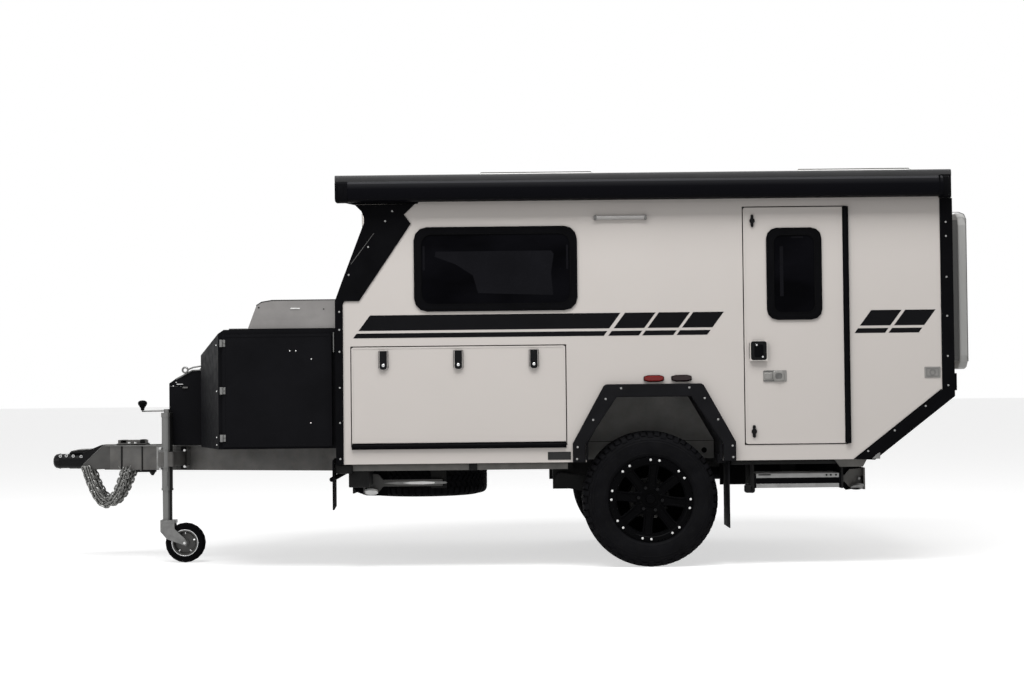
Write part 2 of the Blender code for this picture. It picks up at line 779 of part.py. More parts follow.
def tyre_profile(width, hollow):
    """The section of a tyre, down its outer side. Width is over the bulge of the walls."""
    half = width / 2
    tread = [(TYRE_RADIUS - 0.017, half - 0.017), (TYRE_RADIUS - 0.003, half - 0.037)]
    wall = [(BEAD_RADIUS, 0.105), (0.240, half - 0.0195), (0.285, half), (0.340, half - 0.0015)]
    upper = wall + tread
    lower = [(radius, -height) for radius, height in reversed(upper)]
    outside = upper + [(TYRE_RADIUS, 0)] + lower
    if not hollow:
        return outside
    inside = [(BEAD_RADIUS, 0.080), (0.300, half - 0.0175), (TYRE_RADIUS - 0.023, half - 0.047)]
    return outside + [(radius, -height) for radius, height in inside] + inside[::-1]


def rim_profile():
    seat = BEAD_RADIUS - GAP
    inner = seat - RIM_WALL
    return [
        (FLANGE_RADIUS, CLAMP_RING_FACE),
        (FLANGE_RADIUS, 0.1135),
        (seat, 0.1060),
        (seat, -0.1060),
        (FLANGE_RADIUS, -0.1135),
        (FLANGE_RADIUS, -0.121),
        (inner, -0.121),
        (inner, 0.075),
        (CLAMP_RING_INNER, 0.090),
        (CLAMP_RING_INNER, CLAMP_RING_FACE),
    ]


def spoke_windows():
    """The openings between the spokes, which keep one width, as outlines in the plane of the wheel."""
    windows = []
    first = math.pi / 2 - SPOKE_TURN
    for index in range(SPOKES):
        middle = first + math.tau * (index + 0.5) / SPOKES
        corners = []
        for radius, way, corner in ((WINDOW_INNER, -1, 0.003), (WINDOW_OUTER, -1, 0.014)):
            spread = math.pi / SPOKES - math.asin(SPOKE_WIDTH / 2 / radius)
            corners.append((radius, middle + way * spread, corner))
        corners += [(radius, 2 * middle - angle, corner) for radius, angle, corner in reversed(corners)]
        points = []
        for radius, angle, corner in corners:
            points.append((radius * math.cos(angle), radius * math.sin(angle), corner))
        windows.append(rounded(points, 1))
    return windows


def make_rim(name, bore):
    """An eight-spoke rim: barrel with clamp ring, spokes that slope in to the hub, about local Z."""
    rim = turned(name, rim_profile(), TRIM_BLACK, WHEEL_SIDES)
    dish = BEAD_RADIUS - 0.003
    dish_profile = [(dish, 0.118), (dish, 0.092), (0.065, 0.050), (0.065, 0.083), (WINDOW_INNER, 0.085)]
    disc = turned(f"{name}_disc", dish_profile, TRIM_BLACK, WHEEL_SIDES)
    cut(disc, plate(f"{name}_windows", spoke_windows(), "XY", 0, CLAMP_RING_FACE + 0.050))
    hub_profile = [
        (0.075, 0.075),
        (0.075, -0.040),
        (0.125, -0.042),
        (0.125, -0.131),
        (STUB_RADIUS + 0.0005, -0.131),
        (STUB_RADIUS + 0.0005, 0.050),
        (0.004, 0.050),
        (0.004, 0.075),
    ]
    if not bore:
        hub_profile = [(0.075, 0.075), (0.075, 0.030), (0.004, 0.030), (0.004, 0.075)]
    hub = turned(f"{name}_hub", hub_profile, TRIM_BLACK, ROUND_SIDES - 4)
    cap_foot = (0, 0, 0.0503 if bore else 0.031)
    cap = rod(f"{name}_cap", cap_foot, (0, 0, 0.100), 0.030, sides=SMALL_SIDES)
    return join(rim, disc, hub, cap)


def move_all(piece, place):
    """Moves a piece and everything that shapes it."""
    piece.matrix_world = place @ piece.matrix_world
    for change in piece.modifiers:
        if change.type == "BOOLEAN":
            move_all(change.object, place)


def make_wheels():
    for label, side in sides():
        turn = NEAR if side < 0 else FAR
        centre = Vector((AXLE_X, side * (TYRE_FACE_Y - TYRE_WIDTH / 2), TYRE_RADIUS))
        place = Matrix.Translation(centre) @ turn
        tyre = turned(f"tyre_{label}", tyre_profile(TYRE_WIDTH, True), RUBBER, WHEEL_SIDES)
        tyre.matrix_world = place
        move_all(make_rim(f"rim_{label}", bore=True), place)
    spare = turned("spare_wheel", tyre_profile(TYRE_WIDTH, True), RUBBER, 24)
    disc = plate("spare_disc", [circle(0, 0, BEAD_RADIUS + 0.014, 16)], "XY", -0.098, -0.086)
    centre_z = SPARE_LOW_Z + TYRE_WIDTH / 2
    boss_top = SPARE_CARRIER_Z - GAP - centre_z
    boss = rod("spare_boss", (0, 0, -0.106), (0, 0, boss_top), 0.060, sides=SMALL_SIDES)
    move_all(join(spare, disc, boss), Matrix.Translation((SPARE_X, 0, centre_z)))


def make_suspension():
    """A trailing arm with its stub axle on each side, sprung by a coil-over strut."""
    for label, side in sides():
        y_low, y_high = span(side, ARM_Y, ARM_Y + ARM_THICK)
        axle_z = TYRE_RADIUS
        outline = rounded(
            [
                (ARM_PIVOT_X - 0.045, ARM_PIVOT_Z - 0.040, 0.030),
                (AXLE_X + 0.060, axle_z - 0.055, 0.045),
                (AXLE_X + 0.060, axle_z + 0.055, 0.045),
                (ARM_PIVOT_X - 0.045, ARM_PIVOT_Z + 0.045, 0.030),
            ]
        )
        arm = plate(f"suspension_arm_{label}", [outline], "XZ", y_low, y_high, CHASSIS_GREY)
        drum_face = TYRE_FACE_Y - TYRE_WIDTH / 2 - 0.131
        plate_back = drum_face - 0.006
        stub = rod(
            f"stub_axle_{label}",
            (AXLE_X, side * (ARM_Y + 0.010), axle_z),
            (AXLE_X, side * (drum_face + 0.170), axle_z),
            STUB_RADIUS,
        )
        backing = rod(
            f"backing_plate_{label}",
            (AXLE_X, side * (plate_back - 0.010), axle_z),
            (AXLE_X, side * plate_back, axle_z),
            0.125,
        )
        seat_z = axle_z + 0.115
        seat_low = ARM_PIVOT_Z - 0.060
        seat = rod(
            f"spring_seat_{label}",
            (SPRING_X, side * SPRING_Y, seat_low),
            (SPRING_X, side * SPRING_Y, seat_z),
            SPRING_RADIUS + 0.010,
        )
        join(arm, stub, backing, seat)
        make_strut(label, side, seat_z + GAP, TOWER_LOW_Z - GAP)


def make_strut(label, side, low, high):
    """A helical spring round its damper, between two end discs."""
    centre = Vector((SPRING_X, side * SPRING_Y, 0))
    turns = 3.5
    steps = 30
    rise = high - low - 2 * SPRING_WIRE
    points = []
    for step in range(steps + 1):
        share = step / steps
        angle = math.tau * turns * share
        radius = SPRING_RADIUS - SPRING_WIRE
        place = Vector((radius * math.cos(angle), radius * math.sin(angle), low + SPRING_WIRE + rise * share))
        points.append(centre + place)
    coil = tube(f"coil_strut_{label}", points, SPRING_WIRE, TRIM_BLACK, sides=1)
    up = Vector((0, 0, 1))
    bottom, top = centre + up * low, centre + up * high
    foot = rod(f"strut_foot_{label}", bottom, bottom + up * 0.008, SPRING_RADIUS, sides=SMALL_SIDES)
    head = rod(f"strut_head_{label}", top - up * 0.008, top, SPRING_RADIUS, sides=SMALL_SIDES)
    damper = rod(f"strut_damper_{label}", bottom + up * 0.004, top - up * 0.004, 0.018, sides=SMALL_SIDES)
    return join(coil, foot, head, damper)


def toolbox_hinges(label, side, outer):
    """Three knuckles with their leaves, along the front edge of a toolbox door."""
    half = BOX_HINGE_LENGTH / 2
    axis_y = side * (outer + HINGE_OUT)
    y_low, y_high = span(side, BOX_SIDE_Y - 0.004, outer + 0.006)
    low, high = BOX_DOOR_LOW_Z + 0.054, BOX_DOOR_TOP_Z - 0.050
    hinges = []
    for index, z in enumerate((low, (low + high) / 2, high)):
        ends = [(BOX_DOOR_AXIS_X, axis_y, z + way * half) for way in (-1, 1)]
        hinges.append(rod(f"toolbox_knuckle_{index}_{label}", *ends, HINGE_RADIUS, sides=8))
        leaf_low = (BOX_DOOR_AXIS_X - HINGE_LEAF, y_low, z - half + 0.001)
        leaf_high = (BOX_DOOR_AXIS_X - 0.001, y_high, z + half - 0.001)
        hinges.append(box(f"toolbox_leaf_{index}_{label}", leaf_low, leaf_high))
    return hinges


def make_toolbox():
    """The welded box on the A-frame, its top front sloped, open at both sides behind its doors."""
    plan = [
        (BOX_REAR_X, -BOX_SIDE_Y),
        (BOX_CHAMFER_X, -BOX_SIDE_Y),
        (BOX_FRONT_X, -BOX_FRONT_Y),
        (BOX_FRONT_X, BOX_FRONT_Y),
        (BOX_CHAMFER_X, BOX_SIDE_Y),
        (BOX_REAR_X, BOX_SIDE_Y),
    ]
    shell = plate("toolbox", [plan], "XY", BOX_LOW_Z, BOX_TOP_Z, BOX_BLACK)
    slope = [
        (BOX_FRONT_X - 0.050, BOX_SLOPE_Z - 0.031),
        (BOX_CHAMFER_X + 0.040, BOX_TOP_Z + 0.004),
        (BOX_CHAMFER_X + 0.040, BOX_TOP_Z + 0.100),
        (BOX_FRONT_X - 0.050, BOX_TOP_Z + 0.100),
    ]
    nose = plate("toolbox_slope", [slope], "XZ", -1.2, 1.2)
    room = [
        (BOX_REAR_X - BOX_WALL, -BOX_SIDE_Y + BOX_WALL),
        (BOX_CHAMFER_X + 0.010, -BOX_SIDE_Y + BOX_WALL),
        (BOX_FRONT_X + BOX_WALL, -BOX_FRONT_Y),
        (BOX_FRONT_X + BOX_WALL, BOX_FRONT_Y),
        (BOX_CHAMFER_X + 0.010, BOX_SIDE_Y - BOX_WALL),
        (BOX_REAR_X - BOX_WALL, BOX_SIDE_Y - BOX_WALL),
    ]
    inside = plate("toolbox_room", [room], "XY", BOX_LOW_Z + BOX_WALL, BOX_TOP_Z - BOX_WALL)
    lower = [(x, z - 0.025) for x, z in slope]
    cut(inside, plate("toolbox_room_slope", [lower], "XZ", -1.1, 1.1))
    opening = box(
        "toolbox_doorways",
        (BOX_DOOR_AXIS_X + 0.040, -1.2, BOX_LOW_Z + BOX_WALL + 0.020),
        (BOX_DOOR_REAR_X - 0.040, 1.2, BOX_DOOR_TOP_Z - 0.040),
    )
    cut(shell, nose, inside, opening)
    outer = BOX_SIDE_Y + GAP + BOX_DOOR_THICK
    hinges = []
    for label, side in sides():
        hinges += toolbox_hinges(label, side, outer)
    join(shell, *hinges)
    for label, side in sides():
        y_low, y_high = span(side, BOX_SIDE_Y + GAP, outer)
        door = plate(
            f"toolbox_door_{label}",
            [
                rounded(
                    [
                        (BOX_DOOR_AXIS_X + 0.002, BOX_DOOR_LOW_Z, 0),
                        (BOX_DOOR_REAR_X, BOX_DOOR_LOW_Z, 0.012),
                        (BOX_DOOR_REAR_X, BOX_DOOR_TOP_Z, 0.012),
                        (BOX_DOOR_AXIS_X + 0.002, BOX_DOOR_TOP_Z, 0),
                    ]
                )
            ],
            "XZ",
            y_low,
            y_high,
            BOX_BLACK,
        )
        set_origin(door, (BOX_DOOR_AXIS_X, side * (outer + HINGE_OUT), (BOX_DOOR_LOW_Z + BOX_DOOR_TOP_Z) / 2))
    top = [
        (TOP_BOX_FRONT_X, BOX_TOP_Z + GAP),
        (BOX_REAR_X, BOX_TOP_Z + GAP),
        (BOX_REAR_X, TOP_BOX_TOP_Z),
        (TOP_BOX_FRONT_X + 0.144, TOP_BOX_TOP_Z),
        (TOP_BOX_FRONT_X + 0.085, TOP_BOX_TOP_Z - 0.010),
        (TOP_BOX_FRONT_X + 0.055, TOP_BOX_TOP_Z - 0.030),
    ]
    cover = plate("top_box", [top], "XZ", -TOP_BOX_HALF, TOP_BOX_HALF, ALUMINIUM)
    room = box(
        "top_box_room",
        (TOP_BOX_FRONT_X + 0.080, -TOP_BOX_HALF + BOX_WALL, BOX_TOP_Z - 0.1),
        (BOX_REAR_X - BOX_WALL, TOP_BOX_HALF - BOX_WALL, TOP_BOX_TOP_Z - BOX_WALL),
    )
    cut(cover, room)


def make_locker():
    """The small locker ahead of the toolbox, open at the top under its lid."""
    back = BOX_FRONT_X - GAP
    base = box(
        "front_locker",
        (LOCKER_FRONT_X, -LOCKER_HALF, RAIL_TOP_Z + NOSE_PLATE + GAP),
        (back, LOCKER_HALF, LOCKER_RIM_Z),
        BOX_BLACK,
    )
    room = box(
        "locker_room",
        (LOCKER_FRONT_X + LOCKER_WALL, -LOCKER_HALF + LOCKER_WALL, RAIL_TOP_Z + NOSE_PLATE + LOCKER_WALL),
        (back - LOCKER_WALL, LOCKER_HALF - LOCKER_WALL, LOCKER_RIM_Z + 0.1),
    )
    cut(base, room)
    low = LOCKER_RIM_Z + GAP
    back -= 0.006
    outline = [
        (LOCKER_FRONT_X, low),
        (back, low),
        (back, LOCKER_TOP_Z),
        (LOCKER_FRONT_X + 0.142, LOCKER_TOP_Z - 0.003),
        (LOCKER_FRONT_X + 0.042, LOCKER_TOP_Z - 0.055),
        (LOCKER_FRONT_X, LOCKER_TOP_Z - 0.085),
    ]
    lid = plate("front_locker_lid", [outline], "XZ", -LOCKER_HALF, LOCKER_HALF, BOX_BLACK)
    hollow = [
        (LOCKER_FRONT_X + LOCKER_WALL, low - 0.1),
        (back - LOCKER_WALL, low - 0.1),
        (back - LOCKER_WALL, LOCKER_TOP_Z - 0.014),
        (LOCKER_FRONT_X + 0.142, LOCKER_TOP_Z - 0.017),
        (LOCKER_FRONT_X + 0.046, LOCKER_TOP_Z - 0.070),
        (LOCKER_FRONT_X + LOCKER_WALL, LOCKER_TOP_Z - 0.094),
    ]
    cut(lid, plate("lid_room", [hollow], "XZ", -LOCKER_HALF + LOCKER_WALL, LOCKER_HALF - LOCKER_WALL))
    set_origin(lid, (back, 0, LOCKER_TOP_Z))


def side_outline():
    """The whole side wall: front profile, top, rear with its departure cut, and the wheel arch."""
    return front_line() + brow_line() + rear_line() + arch_line(0)


def door_hole():
    return rect(
        DOOR_FRONT_X - DOOR_GAP,
        DOOR_LOW_Z - DOOR_GAP,
        DOOR_AXIS_X + 0.004,
        DOOR_TOP_Z + DOOR_GAP,
    )


def window_hole(x, z, width, height, radius):
    trim = 2 * FRAME_LIP
    return round_rect(x, z, width - trim, height - trim, radius - FRAME_LIP)


def make_window(name, x, z, width, height, radius, side, face):
    """A framed pane: a lip on the wall, a plug in its hole, and the dark pane set back in the frame."""
    hole = window_hole(x, z, width, height, radius)
    y_low, y_high = span(side, face + GAP, face + FRAME_PROUD)
    lip = plate(name, [round_rect(x, z, width, height, radius)], "XZ", y_low, y_high, GLASS)
    plug_width = width - 2 * FRAME_LIP - 2 * GAP
    plug_height = height - 2 * FRAME_LIP - 2 * GAP
    y_low, y_high = span(side, face - DOOR_THICK + 0.002, face + 0.004)
    filling = round_rect(x, z, plug_width, plug_height, radius - FRAME_LIP - GAP)
    plug = plate(f"{name}_plug", [filling], "XZ", y_low, y_high)
    join(lip, plug)
    inner_width = width - 2 * FRAME_BAND
    inner_height = height - 2 * FRAME_BAND
    inner = round_rect(x, z, inner_width, inner_height, radius - 0.4 * FRAME_BAND)
    y_low, y_high = span(side, face + FRAME_PROUD - 0.004, face + FRAME_PROUD + 0.1)
    recess = plate(f"{name}_recess", [inner], "XZ", y_low, y_high)
    y_low, y_high = span(side, face - DOOR_THICK - 0.1, face - 0.006)
    back = plate(f"{name}_back", [inner], "XZ", y_low, y_high)
    cut(lip, recess, back)
    return hole


def make_walls():
    half = BODY_HALF
    window = (WINDOW_X, WINDOW_Z, WINDOW_WIDTH, WINDOW_HEIGHT, WINDOW_RADIUS)
    front, rear = HATCH_FRONT_X - DOOR_GAP, HATCH_REAR_X + DOOR_GAP
    hatch_hole = rect(front, HATCH_AXIS_Z - 0.004, rear, HATCH_TOP_Z + DOOR_GAP)
    front, rear = BOOT_FRONT_X - DOOR_GAP, BOOT_REAR_X + DOOR_GAP
    boot_hole = rect(front, BOOT_LOW_Z - DOOR_GAP, rear, BOOT_AXIS_Z + 0.004)
    near_holes = [door_hole(), make_window("window_left", *window, -1, half), hatch_hole]
    far_holes = [make_window("window_right", *window, 1, half), boot_hole]
    plate("wall_left", [side_outline()] + near_holes, "XZ", -half, -half + WALL, BODY_WHITE)
    plate("wall_right", [side_outline()] + far_holes, "XZ", half - WALL, half, BODY_WHITE)
    inner = half - WALL - GAP
    foot = RAIL_TOP_Z + GAP
    straight = front_line(foot) + [(BODY_FRONT_X + RAKE_BACK, WALL_TOP_Z)]
    front = front_line(foot) + brow_line() + offset_line(straight, -WALL)[::-1]
    plate("wall_front", [front], "XZ", -inner, inner, BODY_WHITE)
    rear = rear_line() + offset_line(rear_line(), -WALL)[::-1]
    plate("wall_rear", [rear], "XZ", -inner, inner, BODY_WHITE)


def make_floor():
    inner = BODY_HALF - WALL - GAP
    foot = ARCH_HALF_LOW + 0.002
    hole_front = ARCH_X - foot
    hole_rear = ARCH_X + foot
    cut_y = LINER_INNER_Y - GAP
    front = BODY_FRONT_X + WALL + GAP
    rear = REAR_CUT_X + 0.047
    outline = [
        (front, -inner),
        (hole_front, -inner),
        (hole_front, -cut_y),
        (hole_rear, -cut_y),
        (hole_rear, -inner),
        (rear, -inner),
        (rear, inner),
        (hole_rear, inner),
        (hole_rear, cut_y),
        (hole_front, cut_y),
        (hole_front, inner),
        (front, inner),
    ]
    low = RAIL_TOP_Z + GAP
    top = RAIL_TOP_Z + FLOOR_THICK
    plate("floor", [outline], "XY", low, top, WOOD)
    bed_top = HATCH_TOP_Z + 0.040
    board = 0.018
    shelf = [
        (front, bed_top - board),
        (HATCH_REAR_X + 0.020, bed_top - board),
        (HATCH_REAR_X + 0.020, top + GAP),
        (HATCH_REAR_X + 0.020 + board, top + GAP),
        (HATCH_REAR_X + 0.020 + board, bed_top),
        (front, bed_top),
    ]
    plate("bed_base", [shelf], "XZ", -inner, inner, WOOD)


def make_roof():
    """The lifting roof: a cap with side skirts, its front brow reaching out over the raked front."""
    low = WALL_TOP_Z + GAP
    outline = rounded(
        [
            (BODY_FRONT_X + 0.118, low, 0),
            (BODY_REAR_X, low, 0),
            (BODY_REAR_X, ROOF_TOP_Z, 0.030),
            (BODY_FRONT_X, ROOF_TOP_Z, 0.040),
            (BODY_FRONT_X, low + 0.030, 0.030),
        ],
        3,
    )
    roof = bevel(plate("roof", [outline], "XZ", -BODY_HALF, BODY_HALF, BODY_WHITE), 0.012, 2, 80)
    inner = BODY_HALF - WALL
    front = BODY_FRONT_X + RAKE_BACK + WALL
    cavity_high = (BODY_REAR_X - WALL, inner, ROOF_TOP_Z - ROOF_SKIN)
    cavity = box("roof_cavity", (front, -inner, low - 0.1), cavity_high)
    holes = []
    for place, x in (("front", ROOF_HATCH_FRONT_X), ("rear", ROOF_HATCH_REAR_X)):
        holes.append(
            box(
                f"roof_hole_{place}",
                (x + 0.060, -ROOF_HATCH_WIDTH / 2 + 0.060, ROOF_TOP_Z - 0.1),
                (x + ROOF_HATCH_LENGTH - 0.060, ROOF_HATCH_WIDTH / 2 - 0.060, ROOF_TOP_Z + 0.1),
            )
        )
    set_origin(cut(roof, cavity, *holes), (AXLE_X, 0, WALL_TOP_Z))
    plate(
        "roof_canvas",
        [
            rect(front + GAP, -inner + GAP, BODY_REAR_X - WALL - GAP, inner - GAP),
            rect(front + 0.006, -inner + 0.006, BODY_REAR_X - WALL - 0.006, inner - 0.006),
        ],
        "XY",
        WALL_TOP_Z - CANVAS_LAP,
        ROOF_TOP_Z - ROOF_SKIN - 0.025,
        CANVAS,
    )
    for place, x in (("front", ROOF_HATCH_FRONT_X), ("rear", ROOF_HATCH_REAR_X)):
        base = ROOF_TOP_Z + GAP
        half = ROOF_HATCH_WIDTH / 2
        lid = box(
            f"roof_hatch_{place}",
            (x, -half, base - 0.050),
            (x + ROOF_HATCH_LENGTH, half, base + ROOF_HATCH_HEIGHT),
            BODY_WHITE,
        )
        bevel(lid, 0.025, 2, 60)
        room = box(
            f"roof_hatch_{place}_room",
            (x + 0.015, -half + 0.015, base - 0.1),
            (x + ROOF_HATCH_LENGTH - 0.015, half - 0.015, base + ROOF_HATCH_HEIGHT - 0.015),
        )
        flat = box(
            f"roof_hatch_{place}_foot",
            (x - 0.1, -half - 0.1, base - 0.1),
            (x + ROOF_HATCH_LENGTH + 0.1, half + 0.1, base),
        )
        set_origin(cut(lid, room, flat), (x + ROOF_HATCH_LENGTH, 0, ROOF_TOP_Z + 0.006))


def awning_section(trim):
    """The awning's section, made smaller by a trim."""
    back = BODY_HALF + GAP
    face = BODY_HALF + AWNING_DEPTH - trim
    low, top = AWNING_LOW_Z + trim, AWNING_TOP_Z - trim
    return rounded([(-back, low, 0), (-back, top, 0), (-face, top, 0.030), (-face, low, 0.045)])


def make_awning():
    """The cassette along the roof's near edge, with a cap at each end."""
    inner = awning_section(AWNING_CAP_PROUD)
    front, rear = AWNING_FRONT_X, AWNING_REAR_X
    case = plate("awning_cassette", [inner], "YZ", front + 0.002, rear - 0.002, TRIM_BLACK)
    caps = []
    for place, x in (("front", front), ("rear", rear - AWNING_CAP)):
        caps.append(plate(f"awning_cap_{place}", [awning_section(0)], "YZ", x, x + AWNING_CAP))
    join(case, *caps)


def make_doors():
    outer = BODY_HALF + DOOR_PROUD
    thick = DOOR_THICK
    window = (DOOR_WINDOW_X, DOOR_WINDOW_Z, DOOR_WINDOW_WIDTH, DOOR_WINDOW_HEIGHT, DOOR_WINDOW_RADIUS)
    pane_hole = make_window("door_window", *window, -1, outer)
    door_outline = rounded(
        [
            (DOOR_FRONT_X, DOOR_LOW_Z, DOOR_RADIUS),
            (DOOR_AXIS_X - 0.002, DOOR_LOW_Z, 0),
            (DOOR_AXIS_X - 0.002, DOOR_TOP_Z, 0),
            (DOOR_FRONT_X, DOOR_TOP_Z, DOOR_RADIUS),
        ]
    )
    door = plate("entry_door", [door_outline, pane_hole], "XZ", -outer, -outer + thick, BODY_WHITE)
    lock_low = (DOOR_FRONT_X + 0.028, -outer - 0.022, 1.193)
    lock = box("door_lock", lock_low, (DOOR_FRONT_X + 0.130, -outer + 0.005, 1.312))
    axis_y = -outer - HINGE_OUT
    set_origin(join(door, lock), (DOOR_AXIS_X, axis_y, (DOOR_LOW_Z + DOOR_TOP_Z) / 2))
    pin_low = (DOOR_AXIS_X, axis_y, DOOR_LOW_Z)
    door_pin = rod("door_pin", pin_low, (DOOR_AXIS_X, axis_y, DOOR_TOP_Z), HINGE_RADIUS, sides=SMALL_SIDES)
    door_leaf = box(
        "door_hinge_leaf",
        (DOOR_AXIS_X + LEAF_START, axis_y + 0.0066, DOOR_LOW_Z + 0.001),
        (DOOR_AXIS_X + HINGE_LEAF, -BODY_HALF + 0.004, DOOR_TOP_Z - 0.001),
    )
    hatch_outline = rounded(
        [
            (HATCH_FRONT_X, HATCH_AXIS_Z + 0.002, 0),
            (HATCH_REAR_X, HATCH_AXIS_Z + 0.002, 0),
            (HATCH_REAR_X, HATCH_TOP_Z, DOOR_RADIUS),
            (HATCH_FRONT_X, HATCH_TOP_Z, DOOR_RADIUS),
        ]
    )
    hatch = plate("kitchen_hatch", [hatch_outline], "XZ", -outer, -outer + thick, BODY_WHITE)
    latches = []
    for index, x in enumerate((AXLE_X - 1.547, AXLE_X - 1.111, AXLE_X - 0.672)):
        left, right = x - 0.025, x + 0.025
        low, top = HATCH_TOP_Z - 0.134, HATCH_TOP_Z - 0.019
        corners = [(left, low, 0.02), (right, low, 0.02), (right, top, 0.006), (left, top, 0.006)]
        shape = rounded(corners)
        latches.append(plate(f"hatch_latch_{index}", [shape], "XZ", -outer - 0.014, -outer + 0.004))
    set_origin(join(hatch, *latches), ((HATCH_FRONT_X + HATCH_REAR_X) / 2, axis_y, HATCH_AXIS_Z))
    pin_front = (HATCH_FRONT_X, axis_y, HATCH_AXIS_Z)
    pin_rear = (HATCH_REAR_X, axis_y, HATCH_AXIS_Z)
    hatch_pin = rod("kitchen_pin", pin_front, pin_rear, HINGE_RADIUS, sides=SMALL_SIDES)
    hatch_leaf = box(
        "kitchen_hinge_leaf",
        (HATCH_FRONT_X + 0.001, axis_y + 0.0066, HATCH_AXIS_Z - HINGE_LEAF),
        (HATCH_REAR_X - 0.001, -BODY_HALF + 0.004, HATCH_AXIS_Z - LEAF_START),
    )
    join(bpy.data.objects["wall_left"], door_leaf, door_pin, hatch_leaf, hatch_pin)
    boot_outline = rounded(
        [
            (BOOT_FRONT_X, BOOT_LOW_Z, DOOR_RADIUS),
            (BOOT_REAR_X, BOOT_LOW_Z, DOOR_RADIUS),
            (BOOT_REAR_X, BOOT_AXIS_Z - 0.002, 0),
            (BOOT_FRONT_X, BOOT_AXIS_Z - 0.002, 0),
        ]
    )
    boot = plate("boot_hatch", [boot_outline], "XZ", outer - thick, outer, BODY_WHITE)
    set_origin(boot, ((BOOT_FRONT_X + BOOT_REAR_X) / 2, -axis_y, BOOT_AXIS_Z))
    pin = rod(
        "boot_pin",
        (BOOT_FRONT_X, -axis_y, BOOT_AXIS_Z),
        (BOOT_REAR_X, -axis_y, BOOT_AXIS_Z),
        HINGE_RADIUS,
        sides=SMALL_SIDES,
    )
    leaf = box(
        "boot_hinge_leaf",
        (BOOT_FRONT_X + 0.001, BODY_HALF - 0.004, BOOT_AXIS_Z + LEAF_START),
        (BOOT_REAR_X - 0.001, -axis_y - 0.0066, BOOT_AXIS_Z + HINGE_LEAF),
    )
    join(bpy.data.objects["wall_right"], leaf, pin)


def make_arches():
    """Each wheel arch: the flare on the wall, the liner through it, and the mudflap on the liner."""
    for label, side in sides():
        band = arch_line(ARCH_BAND) + arch_line(-LINER_WALL)[::-1]
        y_low, y_high = span(side, BODY_HALF + GAP, BODY_HALF + ARCH_PROUD)
        flare = plate(f"wheel_arch_{label}", [band], "XZ", y_low, y_high)
        liner_foot = WALL_LOW_Z + 0.004
        lining = arch_line(-GAP, liner_foot) + arch_line(0.001 - LINER_WALL, liner_foot)[::-1]
        y_low, y_high = span(side, LINER_INNER_Y, BODY_HALF + 0.010)
        liner = plate(f"arch_liner_{label}", [lining], "XZ", y_low, y_high)
        y_low, y_high = span(side, LINER_INNER_Y + 0.001, LINER_INNER_Y + LINER_WALL)
        back = plate(f"arch_back_{label}", [arch_line(-0.004, WALL_LOW_Z + 0.012)], "XZ", y_low, y_high)
        y_low, y_high = span(side, TYRE_FACE_Y - TYRE_WIDTH, TYRE_FACE_Y)
        flap_x = ARCH_X + ARCH_HALF_LOW - LINER_WALL
        flap = box(
            f"mudflap_{label}",
            (flap_x + 0.001, y_low, MUDFLAP_LOW_Z),
            (flap_x + 0.009, y_high, WALL_LOW_Z + 0.040),
        )
        join(flare, liner, back, flap)


def make_trims():
    """The black corner trims, each a side plate that wraps round the corner, with the tail lamps."""
    thick = 0.006
    pillar = [
        (BODY_FRONT_X + 0.040, RAKE_LOW_Z),
        (BODY_FRONT_X + 0.135, RAKE_LOW_Z),
        (BODY_FRONT_X + 0.440, 2.014),
        (BODY_FRONT_X + 0.400, 2.067),
        (BODY_FRONT_X + 0.465, WALL_TOP_Z - 0.001),
    ]
    front = front_line() + brow_line()
    rear = rear_line()
    inner_x = BODY_REAR_X - 0.067
    inner_rear = [(inner_x, WALL_TOP_Z), (inner_x, REAR_CUT_Z + 0.030), (REAR_CUT_X - 0.103, WALL_LOW_Z)]
    for label, side in sides():
        y_low, y_high = span(side, BODY_HALF + GAP, BODY_HALF + thick)
        outline = offset_line(front, thick) + pillar[::-1] + [(BODY_FRONT_X + 0.038, WALL_LOW_Z)]
        trim = plate(f"front_trim_{label}", [outline], "XZ", y_low, y_high)
        y_low, y_high = span(side, BODY_HALF - 0.050, BODY_HALF + 0.003)
        bend = [(BODY_FRONT_X, WALL_LOW_Z + 0.002)] + front[1:5]
        wrap = offset_line(bend, thick - 0.0008) + offset_line(bend, GAP)[::-1]
        join(trim, plate(f"front_wrap_{label}", [wrap], "XZ", y_low, y_high))
        y_low, y_high = span(side, BODY_HALF + GAP, BODY_HALF + thick)
        outline = offset_line(rear, thick) + inner_rear[::-1]
        trim = plate(f"rear_trim_{label}", [outline], "XZ", y_low, y_high)
        y_low, y_high = span(side, BODY_HALF - 0.060, BODY_HALF + 0.003)
        wrap = offset_line(rear, thick - 0.0008) + offset_line(rear, GAP)[::-1]
        lamp_low, lamp_high = span(side, BODY_HALF - 0.150, BODY_HALF - 0.045)
        lamp = box(
            f"tail_lamp_{label}",
            (BODY_REAR_X + GAP, lamp_low, 1.010),
            (BODY_REAR_X + 0.030, lamp_high, 1.110),
        )
        join(trim, plate(f"rear_wrap_{label}", [wrap], "XZ", y_low, y_high), lamp)


